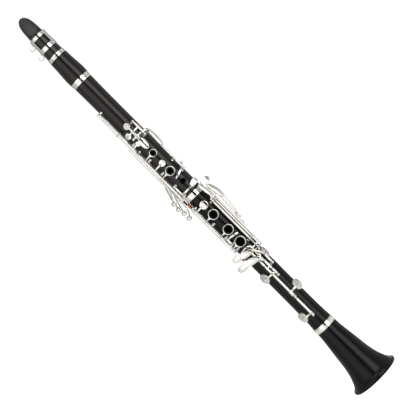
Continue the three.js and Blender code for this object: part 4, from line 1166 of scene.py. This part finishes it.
def build_thumb_rest():
    plate = touch(xyz(0, WOOD + 1.1, 287), xyz(0, 1, 0), UP, 34, 9, 1.5, 0.15, power=5)
    shelf = sweep([xyz(0, 15.2, 281), xyz(0, 22, 280.7), xyz(0, 29, 281.1), xyz(0, 31.8, 283.0), xyz(0, 32.0, 285.4)],
                  [9, 12.6, 13, 12.6, 11], [2.6, 2.3, 2.3, 2.0, 1.6], UP, 24, 8, 4.5)
    screws = [lathe([(0, 0), (1.9, 0), (1.9, 0.5), (1.5, 0.85), (0, 1.0)], 28, xyz(0, WOOD + 1.8, z), xyz(0, 1, 0))
              for z in (274, 292, 300)]
    make("thumb_rest_fine", [plate, shelf] + screws, SILVER, "body", "thumb_rest")


def build_springs():
    """Blued needle springs, each from a post to the lug under a key's tube."""
    runs = [
        (LEFT, 428.7, 407.1), (LEFT, 500.7, 482.1), (TRILL, 449, 441.9), (TRILL, 422.7, 415.6), (TRILL, 397.9, 390.8),
        (THROAT, 463, 448.1), (LEFT, 324.6, 310.4), (SECOND, 217.3, 205.4), (CENTRE, 151, 168.6),
        (CENTRE, 118, 136.6), (THIRD, 222.9, 209.4), (LEVERS[0], 316, 299.4), (LEVERS[1], 316, 295.4),
        (LEVERS[2], 316, 291.4),
    ]
    parts = []
    for (degrees, distance), start, end in runs:
        parts.append(bar(at(degrees + 1.5, distance - 1.9, start), at(degrees + 5.4, distance - 2.6, end), 0.3, 10))
    make("needle_springs", parts, STEEL, "body", None)
    parts = []
    for z in (282.5, 275.8, 268):
        parts += post((97, 22.6 if z > 270 else 20.6), z)
    for degrees, z in ((-44, 411.2), (-44, 387.1), (-43, 293), (-39, 248), (-46, 440.7)):
        parts += post((degrees, 16.9), z, ball=1.45)
    make("spring_posts", parts, SILVER, "body")


# ---------------------------------------------------------------- room, light and camera
def build_stage():
    bpy.ops.mesh.primitive_plane_add(size=14, location=(0, 0, -0.0004))
    floor = bpy.context.object
    floor.name = "floor"
    material, tree, shader = new_material("pale_floor")
    shader.inputs["Base Color"].default_value = (0.86, 0.86, 0.86, 1)
    shader.inputs["Roughness"].default_value = 0.9
    shader.inputs["Specular IOR Level"].default_value = 0.0
    shader.inputs["Emission Color"].default_value = (1, 1, 1, 1)
    path = add(tree, "ShaderNodeLightPath")
    glow = add(tree, "ShaderNodeMapRange")
    glow.inputs["To Min"].default_value = 0.2
    glow.inputs["To Max"].default_value = 1.1
    tree.links.new(path.outputs["Is Camera Ray"], glow.inputs["Value"])
    tree.links.new(glow.outputs["Result"], shader.inputs["Emission Strength"])
    floor.data.materials.append(material)
    world = bpy.data.worlds.new("studio")
    bpy.context.scene.world = world
    world.use_nodes = True
    tree = world.node_tree
    tree.nodes.clear()
    path = add(tree, "ShaderNodeLightPath")
    seen, surround = add(tree, "ShaderNodeBackground"), add(tree, "ShaderNodeBackground")
    seen.inputs["Color"].default_value = (1, 1, 1, 1)
    seen.inputs["Strength"].default_value = 1.05
    surround.inputs["Color"].default_value = (1, 0.99, 0.96, 1)
    surround.inputs["Strength"].default_value = 0.4
    mix = add(tree, "ShaderNodeMixShader")
    output = add(tree, "ShaderNodeOutputWorld")
    tree.links.new(path.outputs["Is Camera Ray"], mix.inputs["Fac"])
    tree.links.new(surround.outputs["Background"], mix.inputs[1])
    tree.links.new(seen.outputs["Background"], mix.inputs[2])
    tree.links.new(mix.outputs["Shader"], output.inputs["Surface"])


def softbox(name, degrees, distance, width, low, high, watts, colour=(1, 1, 1)):
    light = bpy.data.lights.new(name, "AREA")
    light.shape = "RECTANGLE"
    light.size = width
    light.size_y = high - low
    light.energy = watts
    light.color = colour
    lamp = bpy.data.objects.new(name, light)
    bpy.context.scene.collection.objects.link(lamp)
    place = at(degrees, distance, (low + high) / 2)
    lamp.location = place
    lamp.rotation_euler = Vector((place.x, place.y, 0)).to_track_quat("Z", "Y").to_euler()
    lamp.visible_camera = False
    return lamp


def build_lights():
    softbox("softbox_right", 34, 0.75, 0.44, 0.01, 0.95, 3.5)
    softbox("softbox_left", -37, 0.75, 1.0, 0.01, 0.95, 1.9)
    softbox("softbox_left_core", -36, 0.72, 0.45, 0.01, 0.95, 0.6)
    softbox("softbox_side", 96, 0.75, 0.7, 0.01, 0.95, 0.5)
    softbox("softbox_side_left", -97, 0.75, 0.7, 0.01, 0.95, 0.4)
    softbox("softbox_back", 175, 1.2, 0.9, 0.05, 1.2, 3)
    overhead = softbox("softbox_overhead", 0, 0.35, 0.9, 1.2, 2.0, 3)
    overhead.location = (0, -0.35, 1.65)
    overhead.rotation_euler = (math.radians(-8), 0, 0)
    flag_material, _, shader = new_material("black_flag")
    shader.inputs["Base Color"].default_value = (0, 0, 0, 1)
    shader.inputs["Specular IOR Level"].default_value = 0
    bpy.ops.mesh.primitive_plane_add(size=1)
    flag = bpy.context.object
    flag.name = "black_flag"
    flag.scale = (0.17, 1.3, 1)
    flag.location = at(5.5, 0.45, 0.5)
    flag.rotation_euler = Vector((flag.location.x, flag.location.y, 0)).to_track_quat("Z", "Y").to_euler()
    flag.data.materials.append(flag_material)
    flag.visible_camera = False
    flag.visible_diffuse = False
    flag.visible_shadow = False


def build_camera():
    """The instrument crosses the frame from upper left to lower right, leaning a little off the diagonal."""
    lean = math.atan(1.5 / 660)
    along = Vector((-math.sin(lean), 0, math.cos(lean)))
    across = Vector((math.cos(lean), 0, math.sin(lean)))
    right = (across - along).normalized()
    up = (across + along).normalized()
    camera = bpy.data.objects.new("camera", bpy.data.cameras.new("camera"))
    bpy.context.scene.collection.objects.link(camera)
    camera.data.lens = 125
    camera.data.sensor_width = 36
    turn = Matrix((right, up, Vector((0, -1, 0)))).transposed().to_4x4()
    camera.matrix_world = Matrix.Translation((-0.00015, -1.83, 0.3282)) @ turn
    bpy.context.scene.camera = camera


build_bell()
build_joints()
build_barrel()
build_mouthpiece()
build_ligature()
build_posts()
build_throat_keys()
build_register_key()
build_ring_keys()
build_cross_keys()
build_trill_keys()
build_right_hand_keys()
build_levers()
build_thumb_rest()
build_springs()
build_stage()
build_lights()
build_camera()
scene = bpy.context.scene
scene.view_settings.view_transform = "Standard"
bpy.context.view_layer.update()
